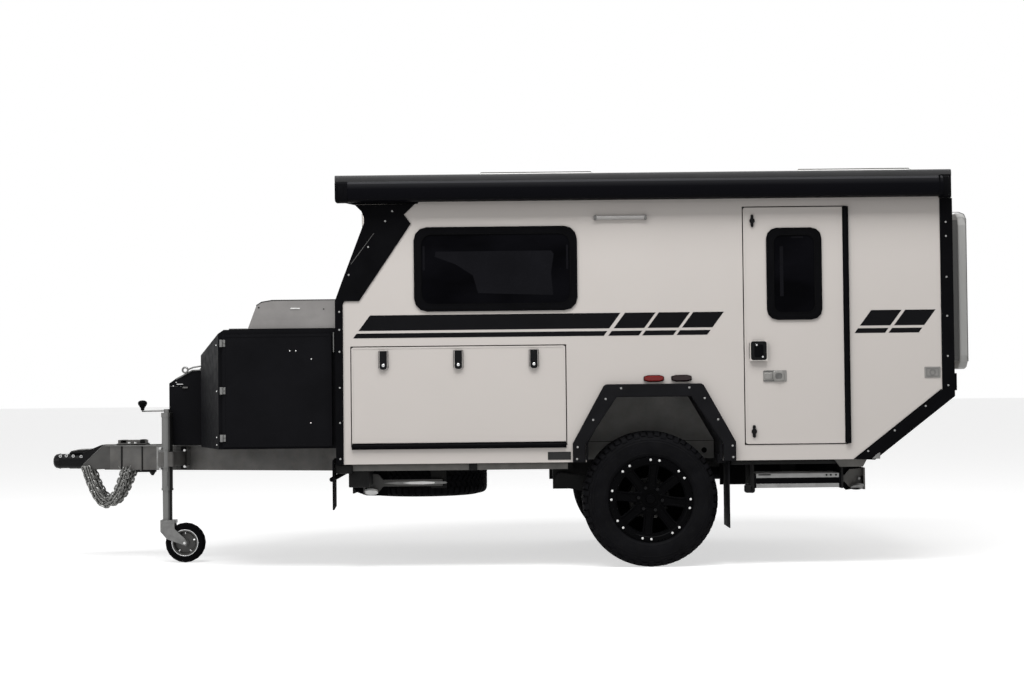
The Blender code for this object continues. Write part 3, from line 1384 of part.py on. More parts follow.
def make_rear_pod():
    height = POD_TOP_Z - POD_LOW_Z
    middle = (POD_TOP_Z + POD_LOW_Z) / 2
    inset = 2 * POD_INSET
    back = BODY_REAR_X + POD_BASE_DEPTH
    base = round_rect(0, middle, 2 * POD_HALF - inset, height - inset, 0.060)
    pod = plate("rear_pod", [base], "YZ", BODY_REAR_X + GAP, back + 0.010, BODY_WHITE)
    cover = round_rect(0, middle, 2 * POD_HALF, height, 0.080)
    shell = bevel(plate("rear_pod_shell", [cover], "YZ", back, back + POD_SHELL_DEPTH), 0.020, 2, 60)
    room = box(
        "rear_pod_room",
        (BODY_REAR_X - 0.1, -POD_HALF + POD_INSET + 0.030, POD_LOW_Z + POD_INSET + 0.030),
        (back, POD_HALF - POD_INSET - 0.030, POD_TOP_Z - POD_INSET - 0.030),
    )
    return cut(join(pod, shell), room)


def make_tank():
    half = RAIL_Y - RAIL_WIDTH / 2 - GAP
    low, top = 0.480, 0.6197
    section = rounded([(-half, low, 0.050), (half, low, 0.050), (half, top, 0), (-half, top, 0)])
    plate("water_tank", [section], "YZ", TANK_FRONT_X, TANK_REAR_X, TRIM_BLACK)


def make_step():
    """The pull-out step: two treads between its side plates."""
    face, back = -STEP_FACE_Y, -STEP_FACE_Y + STEP_DEPTH
    treads = []
    for name, low in (("entry_step", STEP_TOP_Z - STEP_TREAD), ("step_lower_tread", STEP_LOW_Z)):
        tread_high = (STEP_REAR_X - 0.001, back, low + STEP_TREAD)
        treads.append(box(name, (STEP_FRONT_X + 0.001, face, low), tread_high, ALUMINIUM))
    ends = []
    for place, x in (("front", STEP_FRONT_X), ("rear", STEP_REAR_X - STEP_SIDE)):
        end_low = (x, face + 0.002, STEP_LOW_Z + 0.001)
        ends.append(box(f"step_side_{place}", end_low, (x + STEP_SIDE, back - 0.001, STEP_TOP_Z - 0.001)))
    set_origin(join(*treads, *ends), (STEP_FRONT_X, face, STEP_TOP_Z))


def make_guard():
    """The stone guard: a bar behind the A-frame with a flap at each end."""
    bar_x, bar_z = BODY_FRONT_X - 0.035, 0.530
    bar = rod("stone_guard", (bar_x, -0.955, bar_z), (bar_x, 0.955, bar_z), 0.014)
    flaps = []
    for label, side in sides():
        flap = [
            (BODY_FRONT_X - 0.020, side * 0.970),
            (BODY_FRONT_X - 0.030, side * 0.970),
            (BODY_FRONT_X - 0.052, side * 0.600),
            (BODY_FRONT_X - 0.042, side * 0.600),
        ]
        flaps.append(plate(f"stone_flap_{label}", [flap], "XY", 0.353, 0.640))
        y_low, y_high = span(side, RAIL_Y, RAIL_Y + 0.040)
        hanger_high = (bar_x + 0.010, y_high, RAIL_LOW_Z - GAP)
        flaps.append(box(f"guard_hanger_{label}", (bar_x - 0.010, y_low, bar_z), hanger_high))
    join(bar, *flaps)


def make_legs():
    for label, side in sides():
        for place, pivot_x, way in (("front", LEG_FRONT_X, -1), ("rear", LEG_REAR_X, 1)):
            make_leg(f"leg_{place}_{label}", pivot_x, side, way)


def make_leg(name, pivot_x, side, way):
    """A square tube along the rail that swings down about its pivot, with a gusseted foot plate."""
    half = LEG_TUBE / 2
    end = pivot_x + way * LEG_LENGTH
    low_x, high_x = sorted((pivot_x - way * 0.025, end))
    y_low, y_high = span(side, LEG_Y - half, LEG_Y + half)
    leg_high = (high_x, y_high, LEG_PIVOT_Z + half)
    leg = box(name, (low_x, y_low, LEG_PIVOT_Z - half), leg_high, GALVANISED)
    foot_x = sorted((end - way * 0.004, end + way * 0.006))
    y_low, y_high = span(side, LEG_Y - LEG_FOOT, LEG_Y + LEG_FOOT)
    foot_low = (foot_x[0], y_low, LEG_PIVOT_Z - LEG_FOOT)
    foot = box(f"{name}_foot", foot_low, (foot_x[1], y_high, LEG_PIVOT_Z + LEG_FOOT))
    gusset = [
        (end, LEG_PIVOT_Z - 0.060),
        (end, LEG_PIVOT_Z + 0.060),
        (end - way * 0.080, LEG_PIVOT_Z + 0.054),
        (end - way * LEG_GUSSET, LEG_PIVOT_Z + 0.014),
        (end - way * LEG_GUSSET, LEG_PIVOT_Z - 0.014),
        (end - way * 0.080, LEG_PIVOT_Z - 0.054),
    ]
    gussets = []
    for index, inner in enumerate((-half - 0.004, half - 0.001)):
        y_low, y_high = span(side, LEG_Y + inner, LEG_Y + inner + 0.005)
        gussets.append(plate(f"{name}_gusset_{index}", [gusset], "XZ", y_low, y_high))
    return set_origin(join(leg, foot, *gussets), (pivot_x, side * LEG_Y, LEG_PIVOT_Z))


def make_lamps():
    for label, side in sides():
        y_low, y_high = span(side, BODY_HALF + GAP, BODY_HALF + 0.018)
        lamp = round_rect(AXLE_X + 0.024, 1.098, 0.118, 0.044, 0.010, 3)
        plate(f"side_lamp_{label}", [lamp], "XZ", y_low, y_high, LAMP_RED)


make_drawbar()
make_rails()
make_coupling()
make_chains()
make_jockey()
make_wheels()
make_suspension()
make_toolbox()
make_locker()
make_walls()
make_floor()
make_roof()
make_awning()
make_doors()
make_arches()
make_trims()
make_rear_pod()
make_tank()
make_step()
make_guard()
make_legs()
make_lamps()
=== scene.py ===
"""The looks of an off-road hybrid camper trailer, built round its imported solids.

Metres, +Z up, the ground at Z 0. The coupling points to -X and the door side is -Y.
"""

import math

import bmesh
import bpy
from mathutils import Matrix, Vector


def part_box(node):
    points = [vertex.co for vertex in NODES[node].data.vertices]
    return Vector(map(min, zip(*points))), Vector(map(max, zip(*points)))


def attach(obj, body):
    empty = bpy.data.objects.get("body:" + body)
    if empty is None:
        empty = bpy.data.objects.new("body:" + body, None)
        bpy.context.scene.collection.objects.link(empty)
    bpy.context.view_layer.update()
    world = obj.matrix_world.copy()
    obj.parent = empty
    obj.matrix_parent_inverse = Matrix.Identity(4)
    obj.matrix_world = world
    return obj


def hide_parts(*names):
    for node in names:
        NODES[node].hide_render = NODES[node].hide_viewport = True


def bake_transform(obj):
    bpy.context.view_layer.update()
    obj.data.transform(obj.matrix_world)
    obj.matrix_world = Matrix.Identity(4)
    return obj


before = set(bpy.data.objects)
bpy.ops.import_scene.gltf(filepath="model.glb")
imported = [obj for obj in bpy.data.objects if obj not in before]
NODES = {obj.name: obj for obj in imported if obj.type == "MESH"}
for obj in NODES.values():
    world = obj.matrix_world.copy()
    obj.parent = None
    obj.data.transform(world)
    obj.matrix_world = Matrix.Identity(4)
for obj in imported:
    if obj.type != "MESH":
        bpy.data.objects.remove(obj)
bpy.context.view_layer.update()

# Driving places, read from the frame
AXLE = (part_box("tyre_left")[0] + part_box("tyre_left")[1]) / 2
AXLE_X = AXLE.x
TYRE_HALF = (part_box("tyre_left")[1].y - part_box("tyre_left")[0].y) / 2
PANEL_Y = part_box("roof")[1].y
DOOR_FACE = PANEL_Y + 0.003
FLARE_Y = PANEL_Y + 0.0312
LINER_DEPTH = PANEL_Y - 0.32
FRONT_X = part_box("wall_front")[0].x
DECAL = 0.0006  # how far a stripe stands off the panel
SUNK = 0.001  # how far a fitting reaches into what carries it
BARREL_OUT = 0.009  # how far a hinge's axis stands off a door's face

# The camera: placed from the photo's vanishing lines
CAMERA_X = AXLE_X - 0.798
CAMERA_Y = -PANEL_Y - 10.5
CAMERA_Z = 1.087
CAMERA_LENS = 63.5
CAMERA_UP = math.radians(1.28)
CAMERA_ROLL = math.radians(-0.62)


def make_camera():
    data = bpy.data.cameras.new("photo_camera")
    data.lens = CAMERA_LENS
    data.sensor_width = 36
    data.clip_end = 200
    camera = bpy.data.objects.new("photo_camera", data)
    aim = Matrix.Rotation(math.pi / 2 + CAMERA_UP, 4, "X") @ Matrix.Rotation(CAMERA_ROLL, 4, "Z")
    camera.matrix_world = Matrix.Translation((CAMERA_X, CAMERA_Y, CAMERA_Z)) @ aim
    bpy.context.scene.collection.objects.link(camera)
    bpy.context.scene.camera = camera


make_camera()


# Materials

def new_shader(name, colour, roughness, metallic=0.0, specular=0.5):
    material = bpy.data.materials.new(name)
    material.use_nodes = True
    shader = material.node_tree.nodes["Principled BSDF"]
    shader.inputs["Base Color"].default_value = (*colour, 1)
    shader.inputs["Roughness"].default_value = roughness
    shader.inputs["Metallic"].default_value = metallic
    shader.inputs["Specular IOR Level"].default_value = specular
    return material, material.node_tree, shader


def add(tree, kind, **values):
    node = tree.nodes.new(kind)
    for key, value in values.items():
        setattr(node, key, value)
    return node


def noise(tree, scale, detail=4, rough=0.55, stretch=None):
    """A noise pattern in the piece's own coordinates, stretched along an axis where asked."""
    place = add(tree, "ShaderNodeTexCoord")
    pattern = add(tree, "ShaderNodeTexNoise")
    pattern.inputs["Scale"].default_value = scale
    pattern.inputs["Detail"].default_value = detail
    pattern.inputs["Roughness"].default_value = rough
    source = place.outputs["Object"]
    if stretch:
        mapping = add(tree, "ShaderNodeMapping")
        mapping.inputs["Scale"].default_value = stretch
        tree.links.new(source, mapping.inputs["Vector"])
        source = mapping.outputs["Vector"]
    tree.links.new(source, pattern.inputs["Vector"])
    return pattern.outputs["Fac"]


def spread(tree, fac, low, high, start=0.3, end=0.7):
    remap = add(tree, "ShaderNodeMapRange")
    remap.inputs["From Min"].default_value = start
    remap.inputs["From Max"].default_value = end
    remap.inputs["To Min"].default_value = low
    remap.inputs["To Max"].default_value = high
    tree.links.new(fac, remap.inputs["Value"])
    return remap.outputs["Result"]


def blend_colours(tree, fac, first, second):
    mix = add(tree, "ShaderNodeMix", data_type="RGBA")
    for slot, value in ((6, first), (7, second)):
        if isinstance(value, tuple):
            mix.inputs[slot].default_value = (*value, 1)
        else:
            tree.links.new(value, mix.inputs[slot])
    tree.links.new(fac, mix.inputs[0])
    return mix.outputs[2]


def add_bump(tree, shader, height, distance, strength=1.0, soft_edge=0.0):
    bump = add(tree, "ShaderNodeBump")
    bump.inputs["Strength"].default_value = strength
    bump.inputs["Distance"].default_value = distance
    tree.links.new(height, bump.inputs["Height"])
    if soft_edge:
        edge = add(tree, "ShaderNodeBevel", samples=4)
        edge.inputs["Radius"].default_value = soft_edge
        tree.links.new(edge.outputs["Normal"], bump.inputs["Normal"])
    tree.links.new(bump.outputs["Normal"], shader.inputs["Normal"])


def grimy(name, colour, roughness, metallic=0.0, specular=0.5, vary=0.12, size=3.0, grain=400.0,
          depth=0.0001, soft_edge=0.0, dust=None, dust_share=0.0, stretch=None):
    """A finish with cloudy colour, uneven gloss, a fine grain and, where asked, a film of dust."""
    material, tree, shader = new_shader(name, colour, roughness, metallic, specular)
    clouds = noise(tree, size, 6, 0.6)
    dark = tuple(value * (1 - vary) for value in colour)
    light = tuple(min(1.0, value * (1 + vary)) for value in colour)
    tint = blend_colours(tree, spread(tree, clouds, 0, 1), dark, light)
    if dust:
        film = noise(tree, size * 2.3, 8, 0.7)
        tint = blend_colours(tree, spread(tree, film, 0, dust_share, 0.45, 0.8), tint, dust)
    tree.links.new(tint, shader.inputs["Base Color"])
    gloss = noise(tree, size * 4, 4, 0.6, stretch)
    low, high = max(0.02, roughness - 0.07), min(1.0, roughness + 0.09)
    tree.links.new(spread(tree, gloss, low, high), shader.inputs["Roughness"])
    add_bump(tree, shader, noise(tree, grain, 3, 0.6, stretch), depth, 1.0, soft_edge)
    return material


MUD = (0.16, 0.14, 0.12)
# Each finish: its slot, then colour, roughness and the rest that grimy takes, in its order
FINISHES = {
    "body_white": ("body_white", (0.531, 0.497, 0.471), 0.42, 0, 0.3, 0.012, 1.3, 900, 0.00006, 0.0015),
    "hatch_white": ("hatch_white", (0.6, 0.6, 0.59), 0.35, 0, 0.3, 0.02, 4, 400, 0.0001, 0.003),
    "trim_black": ("trim_black", (0.003, 0.003, 0.0036), 0.5, 0, 0.02, 0.25, 6, 1400, 0.00015, 0.0015),
    "arch_black": ("arch_black", (0.007, 0.007, 0.008), 0.6, 0, 0.05, 0.25, 7, 900, 0.00025, 0.003),
    "arch_grey": ("arch_black", (0.19, 0.188, 0.182), 0.8, 0, 0.1, 0.25, 5, 500, 0.0003, 0, MUD, 0.35),
    "box_black": ("box_black", (0.0052, 0.0052, 0.0062), 0.5, 0, 0.03, 0.2, 5, 1100, 0.0002, 0.002),
    "galvanised": ("galvanised", (0.165, 0.165, 0.162), 0.42, 0.75, 0.5, 0.22, 26, 300, 0.00015, 0.0015),
    "bright_steel": ("galvanised", (0.55, 0.55, 0.55), 0.22, 1.0, 0.5, 0.1, 30, 300, 0.00005, 0.0006),
    "chassis_grey": ("chassis_grey", (0.085, 0.083, 0.08), 0.5, 0.35, 0.35, 0.3, 9, 420, 0.0002,
                     0.003, MUD, 0.25),
    "brushed_grey": ("aluminium", (0.255, 0.246, 0.24), 0.42, 0.8, 0.5, 0.12, 5, 160, 0.00012, 0.002, None, 0,
                     (0.02, 1, 1)),
    "aluminium": ("aluminium", (0.42, 0.42, 0.415), 0.34, 0.9, 0.5, 0.15, 8, 200, 0.0001, 0.001, None, 0,
                  (0.03, 1, 1)),
    "rubber": ("rubber", (0.003, 0.003, 0.0034), 0.8, 0, 0.03, 0.25, 9, 700, 0.0003, 0),
    "tyre": ("tyre", (0.004, 0.004, 0.0048), 0.7, 0, 0.04, 0.35, 10, 600, 0.0004, 0,
             (0.016, 0.0155, 0.015), 0.2),
    "rim_black": ("trim_black", (0.0014, 0.0014, 0.0017), 0.26, 0, 0.02, 0.2, 8, 400, 0.0001, 0.002),
    "canvas": ("canvas", (0.16, 0.16, 0.155), 0.9, 0, 0.1, 0.1, 5, 1500, 0.0004, 0),
    "board": ("board", (0.42, 0.36, 0.28), 0.6, 0, 0.2, 0.15, 6, 60, 0.0003, 0, None, 0, (0.08, 1, 1)),
    "cast_grey": ("chassis_grey", (0.11, 0.108, 0.105), 0.5, 0.6, 0.5, 0.3, 30, 500, 0.0003, 0),
    "decal_black": ("trim_black", (0.0045, 0.0045, 0.0053), 0.38, 0, 0.05, 0.1, 4, 800, 0.00005, 0),
    "pod_grey": ("hatch_white", (0.16, 0.158, 0.152), 0.6, 0, 0.3, 0.1, 5, 400, 0.0001, 0.003),
    "led_grey": ("aluminium", (0.36, 0.35, 0.34), 0.3, 0, 0.4, 0.05, 20, 400, 0.0001, 0.002),
    "gloss_black": ("trim_black", (0.004, 0.004, 0.0045), 0.3, 0, 0.1, 0.1, 20, 400, 0.0001, 0.001),
    "rail_grey": ("trim_black", (0.022, 0.022, 0.023), 0.45, 0, 0.25, 0.1, 5, 900, 0.00008, 0.002),
    "glass_sheen": ("dark_glass", (0.0055, 0.0055, 0.007), 0.25, 0, 0.03, 0.2, 3, 400, 0.0001, 0),
    "latch_grey": ("aluminium", (0.22, 0.215, 0.205), 0.4, 0.5, 0.5, 0.15, 25, 500, 0.0001, 0.0008),
    "plate_black": ("trim_black", (0.012, 0.012, 0.012), 0.4, 0, 0.25, 0.1, 20, 400, 0.0001, 0),
    "bolt_silver": ("galvanised", (0.75, 0.75, 0.74), 0.35, 0.3, 0.5, 0.05, 30, 400, 0.0001, 0),
    "drum_grey": ("chassis_grey", (0.018, 0.0175, 0.017), 0.6, 0.3, 0.5, 0.3, 20, 400, 0.0001, 0),
    "boss_grey": ("chassis_grey", (0.14, 0.135, 0.125), 0.5, 0.2, 0.5, 0.2, 30, 400, 0.0001, 0),
    "chain_steel": ("galvanised", (0.17, 0.17, 0.163), 0.34, 0.85, 0.5, 0.35, 60, 500, 0.0001, 0),
    "frame_grey": ("chassis_grey", (0.078, 0.076, 0.071), 0.5, 0.3, 0.5, 0.2, 12, 420, 0.0002,
                   0.001, MUD, 0.2),
    "chassis_dark": ("chassis_grey", (0.01, 0.01, 0.01), 0.5, 0, 0.08, 0.3, 14, 400, 0.0001, 0),
    "pod_white": ("hatch_white", (0.43, 0.43, 0.42), 0.45, 0, 0.2, 0.02, 4, 400, 0.0001, 0.003),
    "nose_grey": ("chassis_grey", (0.048, 0.047, 0.045), 0.5, 0.3, 0.5, 0.25, 12, 420, 0.0002, 0.001),
    "screw_grey": ("galvanised", (0.3, 0.3, 0.295), 0.4, 0.4, 0.5, 0.05, 30, 400, 0.0001, 0),
    "edge_steel": ("galvanised", (0.2, 0.2, 0.195), 0.4, 0.5, 0.5, 0.25, 20, 400, 0.0001, 0.0006),
    "pod_band": ("hatch_white", (0.085, 0.085, 0.083), 0.5, 0, 0.2, 0.03, 6, 400, 0.0001, 0),
    "step_grey": ("aluminium", (0.22, 0.22, 0.217), 0.4, 0.5, 0.5, 0.2, 12, 200, 0.0001, 0.001, None, 0,
                  (0.03, 1, 1)),
    "hinge_steel": ("galvanised", (0.17, 0.17, 0.166), 0.4, 0.6, 0.5, 0.15, 40, 400, 0.0001, 0.0008),
}
MATERIALS = {name: grimy(name, *row[1:]) for name, row in FINISHES.items()}


def make_glass():
    """Dark tinted acrylic: a deep gloss over a faintly lighter field."""
    material, tree, shader = new_shader("dark_glass", (0.004, 0.004, 0.006), 0.07, 0.0, 0.015)
    cloud = noise(tree, 2.0, 3, 0.5, (1, 1, 2.5))
    tint = blend_colours(tree, spread(tree, cloud, 0, 1, 0.4, 0.65), (0.001, 0.001, 0.0015),
                         (0.003, 0.003, 0.0042))
    tree.links.new(tint, shader.inputs["Base Color"])
    return material


def make_lens(name, colour):
    """A moulded lens: clear coated plastic with fine ribs below its skin."""
    material, tree, shader = new_shader(name, colour, 0.16, 0.0, 0.35)
    place = add(tree, "ShaderNodeTexCoord")
    ribs = add(tree, "ShaderNodeTexWave", wave_type="BANDS", bands_direction="X")
    ribs.inputs["Scale"].default_value = 55
    tree.links.new(place.outputs["Object"], ribs.inputs["Vector"])
    dark = tuple(value * 0.55 for value in colour)
    tree.links.new(blend_colours(tree, ribs.outputs["Fac"], dark, colour), shader.inputs["Base Color"])
    add_bump(tree, shader, ribs.outputs["Fac"], 0.0005, 0.4)
    return material


def make_awning_painted_top():
    """Black case whose upward-facing upper curve is mixed towards grey: a painted highlight."""
    material, tree, shader = new_shader("awning_painted_top_light", (0.002, 0.002, 0.003), 0.4, 0.0, 0.03)
    facing = add(tree, "ShaderNodeSeparateXYZ")
    tree.links.new(add(tree, "ShaderNodeNewGeometry").outputs["Normal"], facing.inputs[0])
    # painted highlight: the more a face turns upwards, the greyer it is drawn
    up = spread(tree, facing.outputs["Z"], 0, 1, 0.1, 0.85)
    tree.links.new(blend_colours(tree, up, (0.0022, 0.0022, 0.0032), (0.036, 0.036, 0.039)),
                   shader.inputs["Base Color"])
    return material


def make_post_painted_shade():
    """Dull zinc with painted shade: faces turned towards +X, the tube's rear side, are drawn near black and
    less metallic.
    """
    material, tree, shader = new_shader("post_zinc_painted_shade", (0.16, 0.16, 0.157), 0.42, 0.6, 0.2)
    facing = add(tree, "ShaderNodeSeparateXYZ")
    tree.links.new(add(tree, "ShaderNodeNewGeometry").outputs["Normal"], facing.inputs[0])
    # painted shade on the side facing +X
    rear = spread(tree, facing.outputs["X"], 0, 1, 0.25, 0.62)
    tree.links.new(blend_colours(tree, rear, (0.16, 0.16, 0.157), (0.006, 0.006, 0.006)),
                   shader.inputs["Base Color"])
    dull = spread(tree, facing.outputs["X"], 0.6, 0.0, 0.25, 0.62)
    tree.links.new(dull, shader.inputs["Metallic"])
    return material


MATERIALS["dark_glass"] = make_glass()
MATERIALS["awning_painted_top_light"] = make_awning_painted_top()
MATERIALS["post_zinc_painted_shade"] = make_post_painted_shade()
MATERIALS["lamp_red"] = make_lens("lamp_red", (0.17, 0.004, 0.003))
MATERIALS["lamp_dark"] = make_lens("lamp_dark", (0.014, 0.004, 0.004))
SLOTS = {name: row[0] for name, row in FINISHES.items()}
SLOTS.update({
    "dark_glass": "dark_glass",
    "lamp_red": "lamp_red",
    "lamp_dark": "lamp_red",
    "post_zinc_painted_shade": "galvanised",
    "awning_painted_top_light": "trim_black",
})


# Which nodes wear which finish, a star standing for left and right
FINISH = {
    "chassis_grey": "drawbar",
    "chassis_dark": "chassis_rail_* suspension_arm_*",
    "box_black": "toolbox toolbox_door_* front_locker front_locker_lid",
    "post_zinc_painted_shade": "jockey_outer_tube jockey_inner_tube",
    "galvanised": "jockey_fork safety_chain_*",
    "nose_grey": "leg_front_* jockey_rim",
    "frame_grey": "leg_rear_*",
    "rubber": "jockey_tyre stone_guard",
    "tyre": "tyre_* spare_wheel",
    "rim_black": "rim_*",
    "body_white": "wall_* wall_front wall_rear entry_door kitchen_hatch boot_hatch roof",
    "hatch_white": "roof_hatch_front roof_hatch_rear",
    "pod_white": "rear_pod",
    "board": "floor bed_base",
    "canvas": "roof_canvas",
    "arch_black": "wheel_arch_*",
    "brushed_grey": "top_box",
    "step_grey": "entry_step",
    "lamp_red": "side_lamp_*",
    "trim_black": "coupling coil_strut_* awning_cassette window_* door_window front_trim_* "
    "rear_trim_* water_tank",
}


def dress_nodes():
    for finish, names in FINISH.items():
        for name in names.split():
            for full in {name.replace("*", label) for label in ("left", "right")}:
                NODES[full].data.materials.clear()
                NODES[full].data.materials.append(MATERIALS[finish])


dress_nodes()


# The floor, the world and the lamps

def seen_rays(tree):
    """1 where the camera looks straight at it, by a reflection or through glass."""
    rays = add(tree, "ShaderNodeLightPath")
    seen = rays.outputs["Is Camera Ray"]
    for kind in ("Is Glossy Ray", "Is Transmission Ray"):
        either = add(tree, "ShaderNodeMath", operation="MAXIMUM")
        tree.links.new(seen, either.inputs[0])
        tree.links.new(rays.outputs[kind], either.inputs[1])
        seen = either.outputs[0]
    return seen


def make_floor():
    material, tree, shader = new_shader("floor_pale", (0.6, 0.6, 0.6), 0.9, 0.0, 0.1)
    glow = add(tree, "ShaderNodeEmission")
    strength = add(tree, "ShaderNodeMath", operation="MULTIPLY")
    strength.inputs[1].default_value = 0.6
    tree.links.new(seen_rays(tree), strength.inputs[0])
    tree.links.new(strength.outputs[0], glow.inputs["Strength"])
    both = add(tree, "ShaderNodeAddShader")
    tree.links.new(shader.outputs[0], both.inputs[0])
    tree.links.new(glow.outputs[0], both.inputs[1])
    tree.links.new(both.outputs[0], tree.nodes["Material Output"].inputs["Surface"])
    bpy.ops.mesh.primitive_plane_add(size=160, location=(0, 0, -0.0005))
    plane = bpy.context.object
    plane.name = "floor_plane"
    plane.data.materials.append(material)


def make_world():
    world = bpy.data.worlds.new("studio")
    bpy.context.scene.world = world
    world.use_nodes = True
    tree = world.node_tree
    background = tree.nodes["Background"]
    background.inputs["Color"].default_value = (1, 1, 1, 1)
    tree.links.new(spread(tree, seen_rays(tree), 0.4, 1.0, 0, 1), background.inputs["Strength"])


def make_lamp(name, place, target, size, power):
    data = bpy.data.lights.new(name, "AREA")
    data.shape = "RECTANGLE"
    data.size, data.size_y = size
    data.energy = power
    lamp = bpy.data.objects.new(name, data)
    aim = (Vector(target) - Vector(place)).to_track_quat("-Z", "Y")
    lamp.matrix_world = Matrix.Translation(place) @ aim.to_matrix().to_4x4()
    bpy.context.scene.collection.objects.link(lamp)


def light_scene():
    make_world()
    make_floor()
    make_lamp("soft_above", (0.0, -3.9, 7.8), (0, 0, 1.0), (9.0, 3.0), 760)
    make_lamp("soft_front", (-7.5, -5.0, 3.5), (-0.5, 0, 1.2), (4.0, 4.0), 110)
    bpy.context.scene.view_settings.view_transform = "Standard"


light_scene()


# Making shapes

def finish_piece(name, shape, material, body="chassis", angle=35.0, replaces=()):
    """Turns a bmesh into a piece that rides on a body, where it has one."""
    bmesh.ops.recalc_face_normals(shape, faces=shape.faces)
    mesh = bpy.data.meshes.new(name)
    shape.to_mesh(mesh)
    shape.free()
    mesh.shade_smooth()
    mesh.set_sharp_from_angle(angle=math.radians(angle))
    piece = bpy.data.objects.new(name, mesh)
    piece.data.materials.append(MATERIALS[material])
    bpy.context.scene.collection.objects.link(piece)
    if body:
        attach(piece, body)
    if replaces:
        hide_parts(*replaces)
    return piece


def rounded(corners, steps=5):
    """A closed outline of (u, v, radius) corners, each round one made of steps chords."""
    outline = []
    for index, (u, v, radius) in enumerate(corners):
        here = Vector((u, v))
        back = Vector(corners[index - 1][:2]) - here
        ahead = Vector(corners[(index + 1) % len(corners)][:2]) - here
        if not radius:
            outline.append(tuple(here))
            continue
        half = back.angle(ahead) / 2
        middle = here + (back.normalized() + ahead.normalized()).normalized() * radius / math.sin(half)
        reach = radius / math.tan(half)
        first = here + back.normalized() * reach - middle
        last = here + ahead.normalized() * reach - middle
        sweep = first.angle_signed(last)
        for step in range(steps + 1):
            outline.append(tuple(middle + Matrix.Rotation(-sweep * step / steps, 2) @ first))
    return outline


def round_rect(u, v, width, height, radius, steps=6):
    left, right, low, top = u - width / 2, u + width / 2, v - height / 2, v + height / 2
    return rounded([(left, low, radius), (right, low, radius), (right, top, radius),
                    (left, top, radius)], steps)


def rect(left, low, right, top):
    return [(left, low), (right, low), (right, top), (left, top)]


def up(height):
    """A step straight up."""
    return Vector((0, 0, height))


PLANES = {
    "XY": lambda u, v, w: (u, v, w),
    "XZ": lambda u, v, w: (u, w, v),
    "YZ": lambda u, v, w: (w, u, v),
}


def join_rings(shape, rings, looped=False):
    """Faces between each ring of vertices and the next: a loop, or a bar with capped ends."""
    pairs = list(zip(rings, rings[1:]))
    if looped:
        pairs.append((rings[-1], rings[0]))
    for below, above in pairs:
        count = len(below)
        for index in range(count):
            after = (index + 1) % count
            shape.faces.new((below[index], below[after], above[after], above[index]))
    if not looped:
        shape.faces.new(rings[0][::-1])
        shape.faces.new(rings[-1])


def slab(shape, outline, plane, low, high, edge=0.0):
    """Adds an outline extruded from low to high, with its top rim chamfered by edge."""
    place = PLANES[plane]
    levels = [(low, 0.0), (high, 0.0)]
    if edge:
        way = 1 if high > low else -1
        levels = [(low, 0.0), (high - way * edge, 0.0), (high, edge)]
    rings = []
    for height, inset in levels:
        ring = []
        for u, v in inset_outline(outline, inset):
            ring.append(shape.verts.new(place(u, v, height)))
        rings.append(ring)
    join_rings(shape, rings)


def inset_outline(outline, distance):
    """The outline moved inwards, its corners mitred."""
    if not distance:
        return outline
    count = len(outline)
    area = sum(outline[i - 1][0] * outline[i][1] - outline[i][0] * outline[i - 1][1] for i in range(count))
    turn = 1 if area > 0 else -1
    moved = []
    for index in range(count):
        before = Vector(outline[index - 1])
        here = Vector(outline[index])
        after = Vector(outline[(index + 1) % count])
        first = (here - before).normalized()
        second = (after - here).normalized()
        left = Vector((-first.y, first.x)) * turn
        right = Vector((-second.y, second.x)) * turn
        across = (left + right).normalized()
        share = max(0.35, across.dot(left))
        moved.append(tuple(here + across * distance / share))
    return moved


def frame_ring(shape, outer, inner, plane, low, high):
    """Adds a flat ring between two outlines of equal length."""
    place = PLANES[plane]
    rings = []
    for outline, height in ((outer, low), (outer, high), (inner, high), (inner, low)):
        rings.append([shape.verts.new(place(u, v, height)) for u, v in outline])
    join_rings(shape, rings, looped=True)


def block(shape, start, end, edge=0.0, place=Matrix()):
    """Adds a block between two opposite corners, in any order, its edges chamfered."""
    low = Vector(min(pair) for pair in zip(start, end))
    high = Vector(max(pair) for pair in zip(start, end))
    fit = Matrix.Translation((high + low) / 2) @ Matrix.Diagonal((*(high - low), 1))
    made = bmesh.ops.create_cube(shape, size=1, matrix=place @ fit)
    if edge:
        edges = list({e for vert in made["verts"] for e in vert.link_edges})
        bmesh.ops.bevel(shape, geom=edges, offset=edge, segments=2, affect="EDGES", profile=0.5)


def drum(shape, start, end, radius, sides=24, end_radius=None):
    """Adds a round bar from start to end."""
    start, end = Vector(start), Vector(end)
    turn = (end - start).to_track_quat("Z", "Y").to_matrix().to_4x4()
    bmesh.ops.create_cone(shape, cap_ends=True, segments=sides, radius1=radius, radius2=radius
                          if end_radius is None else end_radius, depth=(end - start).length,
                          matrix=Matrix.Translation((start + end) / 2) @ turn)


def lathe(shape, profile, steps, place):
    """Adds a closed (radius, height) profile turned about the local Z of place."""
    rings = []
    for step in range(steps):
        angle = math.tau * step / steps
        side = Vector((math.cos(angle), math.sin(angle), 0))
        rings.append([shape.verts.new(place @ (side * radius + up(height))) for radius, height in profile])
    join_rings(shape, rings, looped=True)


def pipe(shape, points, radius, sides=10, closed=False):
    """Adds a round bar along points, kept untwisted."""
    points = [Vector(point) for point in points]
    count = len(points)
    rings = []
    normal = None
    for index, point in enumerate(points):
        before = points[index - 1] if index or closed else point
        after = points[(index + 1) % count] if index + 1 < count or closed else point
        along = (after - before).normalized()
        if normal is None:
            normal = along.orthogonal().normalized()
        normal = (normal - along * normal.dot(along)).normalized()
        cross = along.cross(normal)
        ring = []
        for side in range(sides):
            angle = math.tau * side / sides
            way = normal * math.cos(angle) + cross * math.sin(angle)
            ring.append(shape.verts.new(point + way * radius))
        rings.append(ring)
    join_rings(shape, rings, looped=closed)


